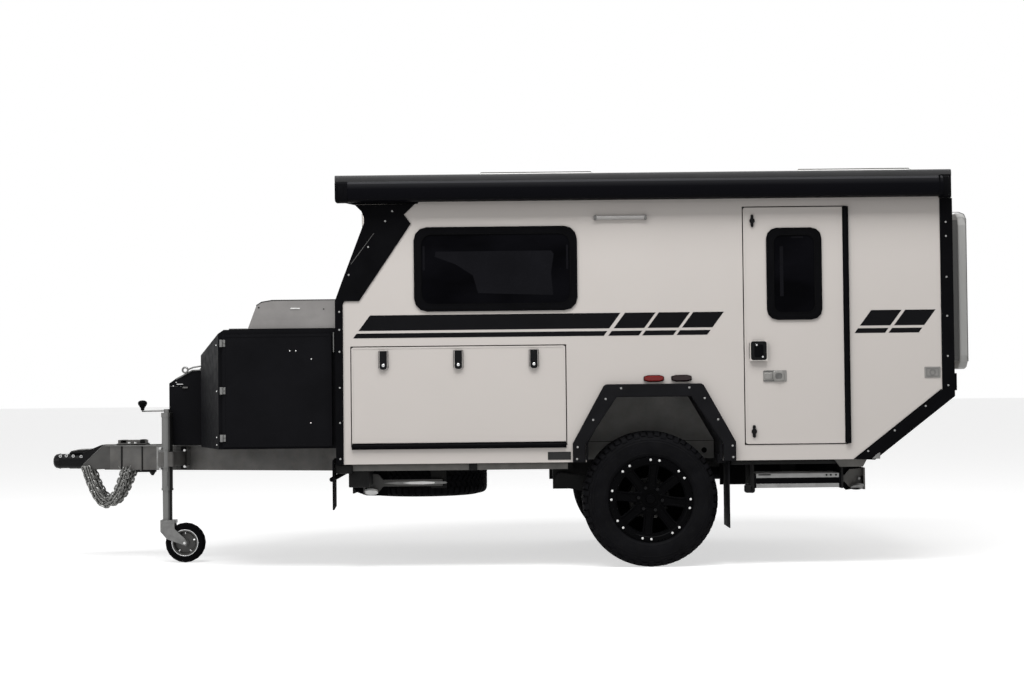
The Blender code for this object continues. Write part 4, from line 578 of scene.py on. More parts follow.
def dome(shape, place, normal, radius, height, sides=12, socket=False):
    """Adds a round screw head on a face."""
    turn = Vector(normal).to_track_quat("Z", "Y").to_matrix().to_4x4()
    at = Matrix.Translation(place) @ turn
    profile = [(radius, 0.0), (radius, height * 0.35), (radius * 0.82, height * 0.8), (radius * 0.45, height)]
    if socket:
        profile += [(radius * 0.4, height * 0.35)]
    rings = []
    for r, h in profile:
        ring = []
        for side in range(sides):
            angle = math.tau * side / sides
            ring.append(shape.verts.new(at @ Vector((r * math.cos(angle), r * math.sin(angle), h))))
        rings.append(ring)
    join_rings(shape, rings)


def sides():
    """Each side's name and its sign along Y."""
    return (("left", -1), ("right", 1))


def ends(low, high):
    """Both Y faces of a box, each with its way outwards."""
    return ((low.y, -1), (high.y, 1))


def at(x):
    """World X of a place measured from the axle."""
    return AXLE_X + x


def spots(*places):
    """(x, z) places measured from the axle, with X turned into world X."""
    return [(at(x), z) for x, z in places]


def side_block(shape, side, x, y, z, edge=0.0):
    """A block on one side: spans of X from the axle, of Y outwards and of Z."""
    block(shape, (at(x[0]), side * y[0], z[0]), (at(x[1]), side * y[1], z[1]), edge)


def side_ring(shape, outer, inner, side, low, high):
    """A ring of XZ outlines on one side, low and high measured outwards."""
    frame_ring(shape, outer, inner, "XZ", side * low, side * high)


def side_slab(shape, outline, side, low, high, edge=0.0):
    """A slab of an XZ outline on one side of the trailer, low and high measured outwards."""
    slab(shape, outline, "XZ", side * low, side * high, edge)


def on_door(shape, outline, proud, edge=0.0):
    """A fitting that stands proud of the near doors' face."""
    slab(shape, outline, "XZ", -DOOR_FACE + SUNK, -DOOR_FACE - proud, edge)


def button_heads(name, places, side, face, radius=0.006, height=0.0035, body="chassis"):
    """Round screw heads at (x, z) places on a side face."""
    shape = bmesh.new()
    for x, z in places:
        dome(shape, (at(x), side * face, z), (0, side, 0), radius, height, 10)
    finish_piece(name, shape, "screw_grey", body)


# Stripes

STRIPE_TOP = 1.482
STRIPE_LEAN = 0.744
STRIPE_SPANS = ((-1.623, -0.165), (-0.139, 0.039), (0.058, 0.239), (0.258, 0.436), (1.293, 1.47),
                (1.491, 1.667))


def make_stripes():
    for label, side in sides():
        shape = bmesh.new()
        for left, right in STRIPE_SPANS:
            for low, top in ((1.392, 1.482), (1.349, 1.377)):
                foot, head = (STRIPE_TOP - low) * STRIPE_LEAN, (STRIPE_TOP - top) * STRIPE_LEAN
                outline = [(at(left) - foot, low), (at(right) - foot, low), (at(right) - head, top),
                           (at(left) - head, top)]
                side_slab(shape, outline, side, PANEL_Y - SUNK, PANEL_Y + DECAL)
        finish_piece(f"stripes_{label}", shape, "decal_black")


# Screws of the trims, pillar plates and arch flares

TRIM_SCREWS = [(-1.801, z) for z in (1.504, 1.4, 1.272, 1.063, 0.859, 0.65)]
TRIM_SCREWS += [(1.733, z) for z in (1.99, 1.908, 1.67, 1.443, 1.21, 1.04)]
TRIM_SCREWS += [(1.6, 0.921), (1.418, 0.781), (1.262, 0.663)]
PILLAR_SCREWS = [(-1.487, 2.088), (-1.5285, 2.03), (-1.629, 1.88), (-1.744, 1.719)]
FLARE_SCREWS = [(-0.169, 1.043), (0.227, 1.043), (-0.259, 0.982), (0.315, 0.981), (-0.333, 0.861),
                (0.391, 0.857)]
FLARE_SCREWS += [(-0.4246, 0.705), (0.473, 0.704), (-0.4285, 0.636), (0.476, 0.638)]


def make_trim_detail():
    for label, side in sides():
        button_heads(f"trim_screws_{label}", TRIM_SCREWS + PILLAR_SCREWS, side, PANEL_Y + 0.006)
        button_heads(f"flare_screws_{label}", FLARE_SCREWS, side, FLARE_Y, 0.0065)
        shape = bmesh.new()
        start, end = Vector((at(-1.594), 0, 1.961)), Vector((at(-1.731), 0, 1.78))
        offset = Vector((0, side * (PANEL_Y + 0.006), 0))
        pipe(shape, [start + offset, end + offset], 0.0015, 8)
        finish_piece(f"pillar_fold_{label}", shape, "cast_grey")
        shape = bmesh.new()
        arc = [(at(-1.736) - 0.045 * math.cos(a), 1.536 + 0.045 * math.sin(a))
               for a in (math.pi / 2 * k / 6 for k in range(7))]
        side_slab(shape, [(at(-1.783), 1.583), *arc], side, PANEL_Y - SUNK, PANEL_Y + 0.005)
        side_slab(shape, spots((1.177, 0.6175), (1.2, 0.6175), (1.702, 1.0105), (1.692, 1.0185)), side,
                  PANEL_Y - SUNK, PANEL_Y + 0.005)
        finish_piece(f"trim_fillets_{label}", shape, "trim_black")


# Wheel arches: flare, rolled edge, liner and mudflap, with the dusty panel and its seam

ARCH_X = 0.021
ARCH_OUTER = ((0.473, 0.617), (0.473, 0.726), (0.285, 1.067))
ARCH_INNER = ((0.402, 0.617), (0.402, 0.722), (0.2195, 0.9945))
ARCH_LINER = ((0.383, 0.621), (0.383, 0.73), (0.232, 0.992))
FLAP_X = 0.452


def arch_outline(points, round_top=0.0):
    """An arch line from the front foot over the top to the rear foot, its top corners rounded."""
    corners = [(at(ARCH_X - x), z, 0) for x, z in points[:2]]
    corners += [(at(ARCH_X - points[2][0]), points[2][1], round_top),
                (at(ARCH_X + points[2][0]), points[2][1], round_top)]
    corners += [(at(ARCH_X + x), z, 0) for x, z in points[1::-1]]
    return rounded(corners, 4)


def make_arch_detail():
    for label, side in sides():
        shape = bmesh.new()
        outer, inner = arch_outline(ARCH_OUTER, 0.03), arch_outline(ARCH_INNER)
        side_slab(shape, outer + inner[::-1], side, PANEL_Y + 0.0003, FLARE_Y, 0.004)
        lip = arch_outline([(x - 0.003, z - 0.003) for x, z in ARCH_INNER])
        rolled = arch_outline([(x + 0.008, z + 0.006) for x, z in ARCH_INNER])
        side_slab(shape, rolled + lip[::-1], side, FLARE_Y - 0.014, FLARE_Y - 0.0012, 0.002)
        tray, inside = arch_outline([(x + 0.014, z + 0.01) for x, z in ARCH_LINER]), arch_outline(ARCH_LINER)
        side_slab(shape, tray + inside[::-1], side, LINER_DEPTH, PANEL_Y + 0.01)
        side_slab(shape, inside, side, LINER_DEPTH, LINER_DEPTH + 0.01)
        side_block(shape, side, (FLAP_X, FLAP_X + 0.007), (0.705, 0.97), (0.225, 0.64), 0.001)
        side_block(shape, side, (0.396, FLAP_X + 0.007), (0.72, 0.93), (0.6, 0.655), 0.003)
        finish_piece(f"arch_flare_{label}", shape, "arch_black", "chassis", 30, [f"wheel_arch_{label}"])
        shape = bmesh.new()
        side_slab(shape, arch_outline([(x - 0.003, z - 0.002) for x, z in ARCH_LINER]), side,
                  LINER_DEPTH + 0.0095, LINER_DEPTH + 0.0125)
        finish_piece(f"arch_panel_{label}", shape, "arch_grey")
        shape = bmesh.new()
        face = LINER_DEPTH + 0.0125
        side_block(shape, side, (-0.355, 0.4), (face, face + 0.003), (0.7235, 0.726))
        drum(shape, (at(0.343), side * (face - 0.002), 0.668),
             (at(0.343), side * (face + 0.003), 0.668), 0.016)
        finish_piece(f"arch_seam_{label}", shape, "rubber")


# Windows

def pane_outline(x, z, width, height, radius, band):
    return round_rect(x, z, width - 2 * band, height - 2 * band, radius - 0.4 * band, 8)


def make_window_detail():
    for label, side in sides():
        low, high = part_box(f"window_{label}")
        x, z = (low.x + high.x) / 2, (low.z + high.z) / 2
        dress_window(f"window_{label}", x, z, high.x - low.x, high.z - low.z, 0.076, side, PANEL_Y, "chassis")
    low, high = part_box("door_window")
    x, z = (low.x + high.x) / 2, (low.z + high.z) / 2
    dress_window("door_window", x, z, high.x - low.x, high.z - low.z, 0.062, -1, DOOR_FACE, "door")


def dress_window(name, x, z, width, height, radius, side, face, body):
    """The pane in its recess, the gasket round it and a painted sheen, a lighter field and bars, on the
    glass.
    """
    floor = face + 0.004
    shape = bmesh.new()
    side_slab(shape, pane_outline(x, z, width, height, radius, 0.0405), side, floor - 0.001, floor + 0.0006)
    finish_piece(f"{name}_pane", shape, "dark_glass", body)
    shape = bmesh.new()
    outer = pane_outline(x, z, width, height, radius, 0.0375)
    inner = pane_outline(x, z, width, height, radius, 0.044)
    side_ring(shape, outer, inner, side, floor - 0.001, floor + 0.0052)
    outer = pane_outline(x, z, width, height, radius, 0.012)
    inner = pane_outline(x, z, width, height, radius, 0.016)
    side_ring(shape, outer, inner, side, face + 0.006, face + 0.0092)
    finish_piece(f"{name}_gasket", shape, "rubber", body)
    # painted sheen: a lighter field and bars laid on the glass
    shape = bmesh.new()
    left, right = x - width / 2 + 0.123, x + width / 2 - 0.141
    low, top = z - height / 2 + 0.09, z + height / 2 - 0.143
    if width > 0.5:
        field = [(left + 0.25, low + 0.015), (right, low), (right - 0.012, (low + top) / 2),
                 (right + 0.005, top - 0.02), (right - 0.01, top), (left + 0.005, top), (left, top - 0.03),
                 (left + 0.12, top - 0.075), (left + 0.22, top - 0.14)]
        bars = ((x - width / 2 + 0.058, z + 0.065), (x + width / 2 - 0.058, z + 0.065))
        half = 0.07
    else:
        field = [(left - 0.045, z - 0.13), (left - 0.025, z - 0.13), (left - 0.025, z + 0.16),
                 (left - 0.045, z + 0.16)]
        bars = ((x + 0.02, z + height / 2 - 0.056),)
        half = 0.004
    side_slab(shape, field, side, floor, floor + 0.0009)
    for middle, height_at in bars:
        wide = 0.006 if half > 0.01 else 0.035
        side_slab(shape, rect(middle - wide, height_at - half, middle + wide, height_at + half), side, floor,
                  floor + 0.0009)
    finish_piece(f"{name}_sheen", shape, "glass_sheen", body)


# Awning, roof rails and brow

AWNING_SECTION = ((0.0, 2.142), (0.018, 2.138), (0.062, 2.138), (0.081, 2.144), (0.0905, 2.156),
                  (0.0935, 2.174), (0.0942, 2.198), (0.0925, 2.222), (0.0865, 2.24), (0.074, 2.2515),
                  (0.055, 2.2558), (0.0, 2.256))
CAP_SECTION = ((0.0, 2.137), (0.07, 2.137), (0.087, 2.143), (0.095, 2.16), (0.095, 2.222), (0.09, 2.243),
               (0.076, 2.2545), (0.055, 2.257), (0.0, 2.257))


def make_awning_detail():
    low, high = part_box("awning_cassette")
    back = -high.y - 0.001
    shape = bmesh.new()
    slab(shape, [(-back - d, z) for d, z in AWNING_SECTION], "YZ", low.x + 0.07, high.x - 0.034)
    finish_piece("awning_case", shape, "awning_painted_top_light", "top_roof", 25, ["awning_cassette"])
    shape = bmesh.new()
    for start, end in ((low.x + 0.072, low.x), (high.x - 0.036, high.x)):
        slab(shape, [(-back - d, z) for d, z in CAP_SECTION], "YZ", start, end, 0.004)
    block(shape, (low.x + 0.014, -back - 0.0955, 2.168), (low.x + 0.052, -back - 0.09, 2.228), 0.004)
    finish_piece("awning_caps", shape, "trim_black", "top_roof", 30)
    shape = bmesh.new()
    slab(shape, [(-back - 0.07, 2.2535), (-back - 0.035, 2.2572), (-back - 0.035, 2.2548),
                 (-back - 0.07, 2.2515)], "YZ", low.x + 0.075, high.x - 0.04)
    finish_piece("awning_highlight", shape, "rail_grey", "top_roof")
    rail = ((0.93, 2.2954), (0.93, 2.2985), (0.984, 2.2985), (0.999, 2.293), (1.004, 2.281), (1.004, 2.2585),
            (0.9805, 2.2585), (0.9805, 2.2954))
    shape = bmesh.new()
    slab(shape, [(-y, z) for y, z in rail], "YZ", at(-1.8195), at(1.7655))
    slab(shape, [(y, z if z > 2.26 else 2.235) for y, z in rail], "YZ", at(-1.8195), at(1.7655))
    finish_piece("roof_rails", shape, "rail_grey", "top_roof", 25)


EAR_WIDTH = 0.05
EAR_DEPTH = 0.118
ROOF_WALL = 0.04
ROOF_SKIN = 0.02


def make_roof_shell():
    """The lifting roof: hollow, its front edge set back between two ears that carry the rails."""
    low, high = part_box("roof")
    front = low.x + EAR_DEPTH
    shape = bmesh.new()
    for side in (-1, 1):
        ear = rounded([(front, low.z, 0), (low.x, low.z + 0.03, 0.02), (low.x, high.z, 0.04),
                       (front, high.z, 0)], 4)
        side_slab(shape, ear, side, high.y - EAR_WIDTH, high.y)
        block(shape, (front, side * (high.y - ROOF_WALL), low.z), (high.x, side * high.y, high.z))
    block(shape, (front, low.y, low.z), (front + ROOF_WALL, high.y, high.z), 0.008)
    block(shape, (high.x - ROOF_WALL, low.y, low.z), (high.x, high.y, high.z), 0.008)
    edges = [front]
    for place in ("front", "rear"):
        a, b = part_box(f"roof_hatch_{place}")
        edges += [a.x + 0.06, b.x - 0.06]
        for side in (-1, 1):
            block(shape, (a.x + 0.06, side * 0.24, high.z - ROOF_SKIN), (b.x - 0.06, side * high.y, high.z))
    edges.append(high.x)
    for start, end in zip(edges[::2], edges[1::2]):
        block(shape, (start, low.y, high.z - ROOF_SKIN), (end, high.y, high.z))
    finish_piece("roof_shell", shape, "body_white", "top_roof", 30, ["roof"])


def make_canvas():
    """The pop-up skirt: a thin sleeve in twenty rows from its foot on the walls up to the roof; it rides on
    no body.
    """
    low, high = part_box("roof_canvas")
    front = max(low.x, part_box("roof")[0].x + EAR_DEPTH + 0.046)
    thick, rows = 0.006, 20
    shape = bmesh.new()
    rings = []
    for row in range(rows + 1):
        z = low.z + (high.z - low.z) * row / rows
        rings.append([shape.verts.new((x, y, z)) for x, y in rect(front, low.y, high.x, high.y)])
    for row in range(rows, -1, -1):
        z = low.z + (high.z - low.z) * row / rows
        inside = rect(front + thick, low.y + thick, high.x - thick, high.y - thick)
        rings.append([shape.verts.new((x, y, z)) for x, y in inside])
    join_rings(shape, rings, looped=True)
    canvas = finish_piece("roof_canvas_skirt", shape, "canvas", None, 30, ["roof_canvas"])
    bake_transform(canvas)


def make_roof_detail():
    make_canvas()
    make_roof_shell()
    front, top = FRONT_X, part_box("roof")[1].z
    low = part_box("roof")[0].z
    shape = bmesh.new()
    liner = [(front + 0.119, low - 0.0005), (front + 0.119, low - 0.002), (front + 0.012, low + 0.0215),
             (front - 0.0015, low + 0.034), (front - 0.0025, top - 0.04), (front - 0.0005, top - 0.04),
             (front - 0.0003, low + 0.036), (front + 0.013, low + 0.0235)]
    for side in (-1, 1):
        side_slab(shape, liner, side, PANEL_Y - EAR_WIDTH, PANEL_Y - 0.002)
    for side in (-1, 1):
        cheek = [(front - 0.002, low + 0.034), (front + 0.013, low + 0.0215), (front + 0.119, low - 0.001),
                 (front + 0.48, low - 0.001), (front + 0.52, low + 0.06), (front + 0.52, top - 0.037),
                 (front - 0.002, top - 0.037)]
        side_slab(shape, cheek, side, PANEL_Y - 0.004, PANEL_Y + 0.0002)
    finish_piece("brow_cover", shape, "trim_black", "top_roof")
    shape = bmesh.new()
    for side in (-1, 1):
        side_block(shape, side, (1.693, 1.7655), (0.978, 1.004), (2.1315, 2.27), 0.004)
        reach = 1.0745 if side < 0 else 1.008
        side_block(shape, side, (1.6795, 1.685), (0.98, reach), (2.15, 2.254))
        for z in (2.165, 2.205, 2.245):
            drum(shape, (at(1.725), side * 1.002, z), (at(1.725), side * 1.012, z), 0.011, 12)
    finish_piece("rear_corner_brackets", shape, "trim_black", "top_roof")
    for place in ("front", "rear"):
        a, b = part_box(f"roof_hatch_{place}")
        shape = bmesh.new()
        outer = rect(a.x - 0.012, a.y - 0.012, b.x + 0.012, b.y + 0.012)
        inner = rect(a.x + 0.016, a.y + 0.016, b.x - 0.016, b.y - 0.016)
        frame_ring(shape, outer, inner, "XY", top + 0.0001, top + 0.0105)
        finish_piece(f"hatch_base_{place}", shape, "rubber", "top_roof")
        shape = bmesh.new()
        for share in (0.25, 0.5, 0.75):
            y = a.y + (b.y - a.y) * share
            block(shape, (a.x + 0.06, y - 0.018, b.z - 0.0004), (b.x - 0.06, y + 0.018, b.z), 0.0001)
        finish_piece(f"hatch_ribs_{place}", shape, "hatch_white", f"vent_{place}")
        shape = bmesh.new()
        for y, out in ends(a, b):
            line = [(a.x - 0.001, b.z - 0.03), (a.x + 0.024, b.z - 0.0005), (b.x - 0.024, b.z - 0.0005),
                    (b.x + 0.001, b.z - 0.03), (b.x + 0.001, b.z - 0.033), (b.x - 0.025, b.z - 0.003),
                    (a.x + 0.025, b.z - 0.003), (a.x - 0.001, b.z - 0.033)]
            slab(shape, line, "XZ", y - out * 0.0285, y - out * 0.01)
        finish_piece(f"hatch_rim_{place}", shape, "frame_grey", f"vent_{place}")


# Doors and hatches

def edge_frame(name, x0, z0, x1, z1, radius, side, face, body, width=0.009, proud=0.0013):
    shape = bmesh.new()
    outer = round_rect((x0 + x1) / 2, (z0 + z1) / 2, x1 - x0, z1 - z0, radius, 4)
    slim = 2 * width
    inner = round_rect((x0 + x1) / 2, (z0 + z1) / 2, x1 - x0 - slim, z1 - z0 - slim,
                       max(0.003, radius - width), 4)
    side_ring(shape, outer, inner, side, face - SUNK, face + proud)
    finish_piece(name, shape, "body_white", body)


def make_seal(name, x0, z0, x1, z1, side):
    """The dark rubber that shows in the gap round a door."""
    shape = bmesh.new()
    side_ring(shape, rect(x0 - 0.0035, z0 - 0.0035, x1 + 0.0035, z1 + 0.0035),
              rect(x0 + 0.001, z0 + 0.001, x1 - 0.001, z1 - 0.001), side, PANEL_Y - 0.034, PANEL_Y - 0.012)
    finish_piece(name, shape, "rubber")


def hinge_strip(name, start, end, out, across, body="chassis"):
    """A round-backed hinge strip with its flat leaf, laid over the solid one."""
    shape = bmesh.new()
    drum(shape, start, end, 0.0095, 16)
    low = Vector(min(a, b) for a, b in zip(start, end))
    high = Vector(max(a, b) for a, b in zip(start, end))
    wide, deep = Vector(across), Vector(out)
    corners = [low, high, low + wide, high + wide, low + deep, high + deep]
    first = Vector(min(c[i] for c in corners) for i in range(3))
    last = Vector(max(c[i] for c in corners) for i in range(3))
    block(shape, first, last)
    finish_piece(name, shape, "trim_black", body)


def make_door_detail():
    axis_y = -DOOR_FACE - BARREL_OUT
    low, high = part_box("entry_door")
    x0, x1, z0, z1 = at(0.554), at(1.1445), low.z, high.z
    edge_frame("door_frame", x0 + 0.001, z0 + 0.001, x1 - 0.014, z1 - 0.001, 0.012, -1, DOOR_FACE, "door")
    make_seal("door_seal", x0, z0, x1 - 0.002, z1, -1)
    hinge_strip("door_hinge_strip", (at(1.1465), axis_y, z0 - 0.001), (at(1.1465), axis_y, z1 + 0.001),
                (0, 0.0115, 0), (0.0185, 0, 0))
    shape = bmesh.new()
    on_door(shape, rect(at(1.131), z0 + 0.001, at(1.144), z1 - 0.001), 0.0025)
    finish_piece("door_edge_strip", shape, "trim_black", "door")
    shape = bmesh.new()
    on_door(shape, round_rect(at(0.633), 1.2525, 0.1036, 0.1206, 0.02, 6), 0.0235, 0.007)
    finish_piece("door_lock_case", shape, "gloss_black", "door")
    shape = bmesh.new()
    face = DOOR_FACE + 0.0235
    slab(shape, round_rect(at(0.633), 1.252, 0.052, 0.074, 0.01, 4), "XZ", -face + 0.001,
         -face - 0.003, 0.002)
    finish_piece("door_lock_paddle", shape, "trim_black", "door")
    shape = bmesh.new()
    for x, z in ((0.6205, 1.286), (0.6555, 1.217)):
        dome(shape, (at(x), -face, z), (0, -1, 0), 0.0065, 0.004, 14)
    finish_piece("door_lock_keys", shape, "bright_steel", "door")
    shape = bmesh.new()
    on_door(shape, round_rect(at(0.727), 1.105, 0.136, 0.066, 0.006, 3), 0.004, 0.001)
    slab(shape, round_rect(at(0.748), 1.105, 0.066, 0.06, 0.018, 5), "XZ", -DOOR_FACE,
         -DOOR_FACE - 0.011, 0.003)
    slab(shape, round_rect(at(0.69), 1.105, 0.046, 0.036, 0.005, 3), "XZ", -DOOR_FACE,
         -DOOR_FACE - 0.009, 0.002)
    finish_piece("door_latch", shape, "latch_grey", "door")
    shape = bmesh.new()
    for z in (1.077, 1.133):
        slab(shape, round_rect(at(0.69), z, 0.058, 0.006, 0.0025, 3), "XZ", -DOOR_FACE, -DOOR_FACE - 0.006)
    slab(shape, round_rect(at(0.748), 1.105, 0.04, 0.034, 0.012, 4), "XZ", -DOOR_FACE,
         -DOOR_FACE - 0.0125, 0.001)
    finish_piece("door_latch_slots", shape, "cast_grey", "door")
    shape = bmesh.new()
    for x, z in ((0.606, 2.009), (0.6027, 0.7846)):
        on_door(shape, round_rect(at(x), z, 0.017, 0.073, 0.008, 4), 0.009, 0.002)
        drum(shape, (at(x), -DOOR_FACE, z), (at(x), -DOOR_FACE - 0.013, z), 0.0158, 16)
    finish_piece("door_buffers", shape, "gloss_black", "door")


def add_latch(black, keys, x, low, key_z, side):
    """A paddle latch on a hatch, with its key below."""
    left, right, top = x - 0.0255, x + 0.0255, low + 0.116
    corners = [(left, low, 0.0205), (right, low, 0.0205), (right, top, 0.005), (left, top, 0.005)]
    proud = DOOR_FACE + 0.0152
    side_slab(black, rounded(corners, 6), side, DOOR_FACE - SUNK, proud, 0.0045)
    dome(keys, (x, side * proud, key_z), (0, side, 0), 0.0085, 0.003, 16, True)


def make_hatch_detail():
    axis_y = -DOOR_FACE - BARREL_OUT
    x0, x1, z1 = at(-1.733), at(-0.489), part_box("kitchen_hatch")[1].z
    edge_frame("kitchen_frame", x0 + 0.001, 0.739, x1 - 0.001, z1 - 0.001, 0.012, -1, DOOR_FACE,
               "kitchen_flap")
    make_seal("kitchen_seal", x0, 0.7225, x1, z1, -1)
    hinge_strip("kitchen_hinge_strip", (x0 - 0.001, axis_y, 0.721), (x1 + 0.001, axis_y, 0.721),
                (0, 0.0115, 0), (0, 0, -0.0185))
    shape = bmesh.new()
    on_door(shape, rect(x0 + 0.001, 0.7235, x1 - 0.001, 0.738), 0.0025)
    finish_piece("kitchen_edge_strip", shape, "trim_black", "kitchen_flap")
    black, keys = bmesh.new(), bmesh.new()
    for x in (-1.547, -1.111, -0.672):
        add_latch(black, keys, at(x), 1.1615, 1.19, -1)
        for wing in (at(x) - 0.027, at(x) + 0.027):
            block(black, (wing - 0.0015, -DOOR_FACE - 0.006, 1.174),
                  (wing + 0.0015, -DOOR_FACE + SUNK, 1.274))
    finish_piece("kitchen_latches", black, "gloss_black", "kitchen_flap")
    finish_piece("kitchen_keys", keys, "bright_steel", "kitchen_flap")
    b0, b1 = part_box("boot_hatch")
    edge_frame("boot_frame", b0.x + 0.001, b0.z + 0.001, b1.x - 0.001, 1.24, 0.012, 1, DOOR_FACE, "boot_flap")
    make_seal("boot_seal", b0.x, b0.z, b1.x, 1.2485, 1)
    hinge_strip("boot_hinge_strip", (b0.x - 0.001, -axis_y, 1.252), (b1.x + 0.001, -axis_y, 1.252),
                (0, -0.0115, 0), (0, 0, 0.0185))
    black, keys = bmesh.new(), bmesh.new()
    for share in (0.22, 0.78):
        add_latch(black, keys, b0.x + (b1.x - b0.x) * share, 0.802, 0.83, 1)
    finish_piece("boot_latches", black, "gloss_black", "boot_flap")
    finish_piece("boot_keys", keys, "bright_steel", "boot_flap")


INLET_X = 1.6435
INLET_Z = 1.117
MARKER_Z = 1.0975
LED_Z = 2.036


def make_wall_fittings():
    shape = bmesh.new()
    slab(shape, round_rect(at(-0.53), 0.655, 0.134, 0.046, 0.003, 3), "XZ", -PANEL_Y + 0.001,
         -PANEL_Y - 0.0015)
    finish_piece("blank_plate", shape, "plate_black")
    shape = bmesh.new()
    slab(shape, round_rect(at(INLET_X), INLET_Z, 0.093, 0.064, 0.003, 3), "XZ", -PANEL_Y + 0.001,
         -PANEL_Y - 0.003, 0.0008)
    finish_piece("inlet_plate", shape, "latch_grey")
    shape = bmesh.new()
    frame_ring(shape, round_rect(at(INLET_X), INLET_Z, 0.072, 0.048, 0.003, 3),
               round_rect(at(INLET_X), INLET_Z, 0.064, 0.04, 0.003, 3), "XZ", -PANEL_Y - 0.002,
               -PANEL_Y - 0.0045)
    frame_ring(shape, round_rect(at(INLET_X), INLET_Z, 0.036, 0.036, 0.016, 6),
               round_rect(at(INLET_X), INLET_Z, 0.022, 0.022, 0.009, 6), "XZ", -PANEL_Y - 0.002,
               -PANEL_Y - 0.0055)
    finish_piece("inlet_rings", shape, "pod_grey")
    for label, side in sides():
        strip, ends = bmesh.new(), bmesh.new()
        y = side * (PANEL_Y + 0.009)
        drum(strip, (at(-0.3), y, LED_Z), (at(-0.022), y, LED_Z), 0.0125, 20)
        block(strip, (at(-0.3), side * PANEL_Y, 2.027), (at(-0.022), y, 2.045))
        finish_piece(f"led_lens_{label}", strip, "led_grey")
        for x in (-0.315, -0.022):
            side_block(ends, side, (x, x + 0.015), (PANEL_Y, PANEL_Y + 0.022), (2.0215, 2.0505), 0.004)
        finish_piece(f"led_ends_{label}", ends, "pod_grey")
        for kind, x in (("red", 0.0235), ("dark", 0.1845)):
            base, lens = bmesh.new(), bmesh.new()
            side_slab(base, lozenge(at(x), MARKER_Z, 0.119, 0.04), side, PANEL_Y - SUNK,
                      PANEL_Y + 0.0065, 0.001)
            side_slab(lens, lozenge(at(x), MARKER_Z, 0.111, 0.033), side, PANEL_Y, PANEL_Y + 0.018, 0.005)
            finish_piece(f"marker_base_{kind}_{label}", base, "trim_black")
            old = (f"side_lamp_{label}",) if kind == "red" else ()
            finish_piece(f"marker_lens_{kind}_{label}", lens, f"lamp_{kind}", replaces=old)


def lozenge(x, z, width, height):
    """A lens outline with full sides and blunt, drawn-in ends."""
    half, tip, rise = width / 2, height * 0.3, height / 2
    corners = [(x - half, z - tip, 0.006), (x - half * 0.55, z - rise, 0.02),
               (x + half * 0.55, z - rise, 0.02), (x + half, z - tip, 0.006), (x + half, z + tip, 0.006),
               (x + half * 0.55, z + rise, 0.02), (x - half * 0.55, z + rise, 0.02),
               (x - half, z + tip, 0.006)]
    return rounded(corners, 3)


# Wheels

SIDE_WALL = ((0.2165, 0.098), (0.2215, 0.1085), (0.232, 0.1125), (0.2415, 0.1135), (0.247, 0.1165),
             (0.258, 0.1235), (0.2665, 0.1275), (0.2685, 0.1288), (0.2705, 0.128), (0.288, 0.132),
             (0.305, 0.1325), (0.322, 0.1315), (0.331, 0.13), (0.3325, 0.1312), (0.3345, 0.1295),
             (0.345, 0.1265), (0.3465, 0.1278), (0.3485, 0.1258), (0.357, 0.1225), (0.366, 0.116),
             (0.374, 0.1065), (0.3795, 0.094), (0.3825, 0.076), (0.3845, 0.045), (0.3855, 0.0))
LONG_LUG = ((0.358, 0.1215), (0.362, 0.1245), (0.373, 0.122), (0.384, 0.114), (0.3905, 0.103),
            (0.3938, 0.088), (0.3942, 0.072), (0.378, 0.072), (0.366, 0.11))
SHORT_LUG = ((0.368, 0.113), (0.372, 0.119), (0.3835, 0.1105), (0.39, 0.1), (0.3935, 0.086), (0.3942, 0.078),
             (0.378, 0.078))
CENTRE_LUGS = ((0.052, 0.0185, 0.3945, 0.55), (0.0165, 0.0145, 0.395, -0.5))
LUGS = 60


def turned_point(place, radius, height, angle):
    return place @ Vector((math.cos(angle) * radius, math.sin(angle) * radius, height))


def add_lug(shape, place, section, start, end, pinch=0.06):
    """A tread block: a section swept over a small angle, a little narrower at its top."""
    rings = []
    middle, half = (start + end) / 2, (end - start) / 2
    foot = min(radius for radius, _ in section)
    for way in (-1, 1):
        ring = []
        for radius, height in section:
            angle = middle + way * half * (1 - pinch * (radius > foot + 0.012))
            ring.append(shape.verts.new(turned_point(place, radius, height, angle)))
        rings.append(ring)
    join_rings(shape, rings)


def add_centre_block(shape, place, middle, half, top, angle, spread_angle, skew):
    """A four-sided tread block near the crown, skewed across the tyre."""
    foot, crown = [], []
    for da, dh in ((-1, -1), (1, -1), (1, 1), (-1, 1)):
        turn = angle + da * spread_angle + dh * skew
        foot.append(shape.verts.new(turned_point(place, 0.38, middle + dh * half, turn)))
        crown.append(shape.verts.new(turned_point(place, top, middle + dh * (half - 0.0012),
                                                  turn - da * 0.002)))
    join_rings(shape, [foot, crown])


def add_tyre(shape, place):
    upper = list(SIDE_WALL)
    lower = [(radius, -height) for radius, height in reversed(upper[:-1])]
    inside = [(0.23, -0.088), (0.3, -0.112), (0.376, -0.07), (0.376, 0.07), (0.3, 0.112), (0.23, 0.088)]
    lathe(shape, upper + lower + inside, 96, place)
    pitch = math.tau / LUGS
    for index in range(LUGS):
        for way in (-1, 1):
            angle = index * pitch + (0.5 * pitch if way < 0 else 0)
            section = LONG_LUG if index % 2 else SHORT_LUG
            mirrored = [(radius, way * height) for radius, height in section]
            add_lug(shape, place, mirrored, angle - pitch * 0.36, angle + pitch * 0.36)
            for middle, half, top, skew in CENTRE_LUGS:
                shift = 0.25 * pitch if middle > 0.03 else 0.6 * pitch
                add_centre_block(shape, place, way * middle, half, top, angle + shift, pitch * 0.34,
                                 way * skew * pitch * 0.4)


SPOKES = 8
SPOKE_ANGLE = math.radians(6.6)
SPOKE_STATIONS = ((0.05, 0.036, 0.085), (0.085, 0.032, 0.086), (0.12, 0.029, 0.091), (0.16, 0.029, 0.101),
                  (0.188, 0.0305, 0.111), (0.208, 0.036, 0.1185))


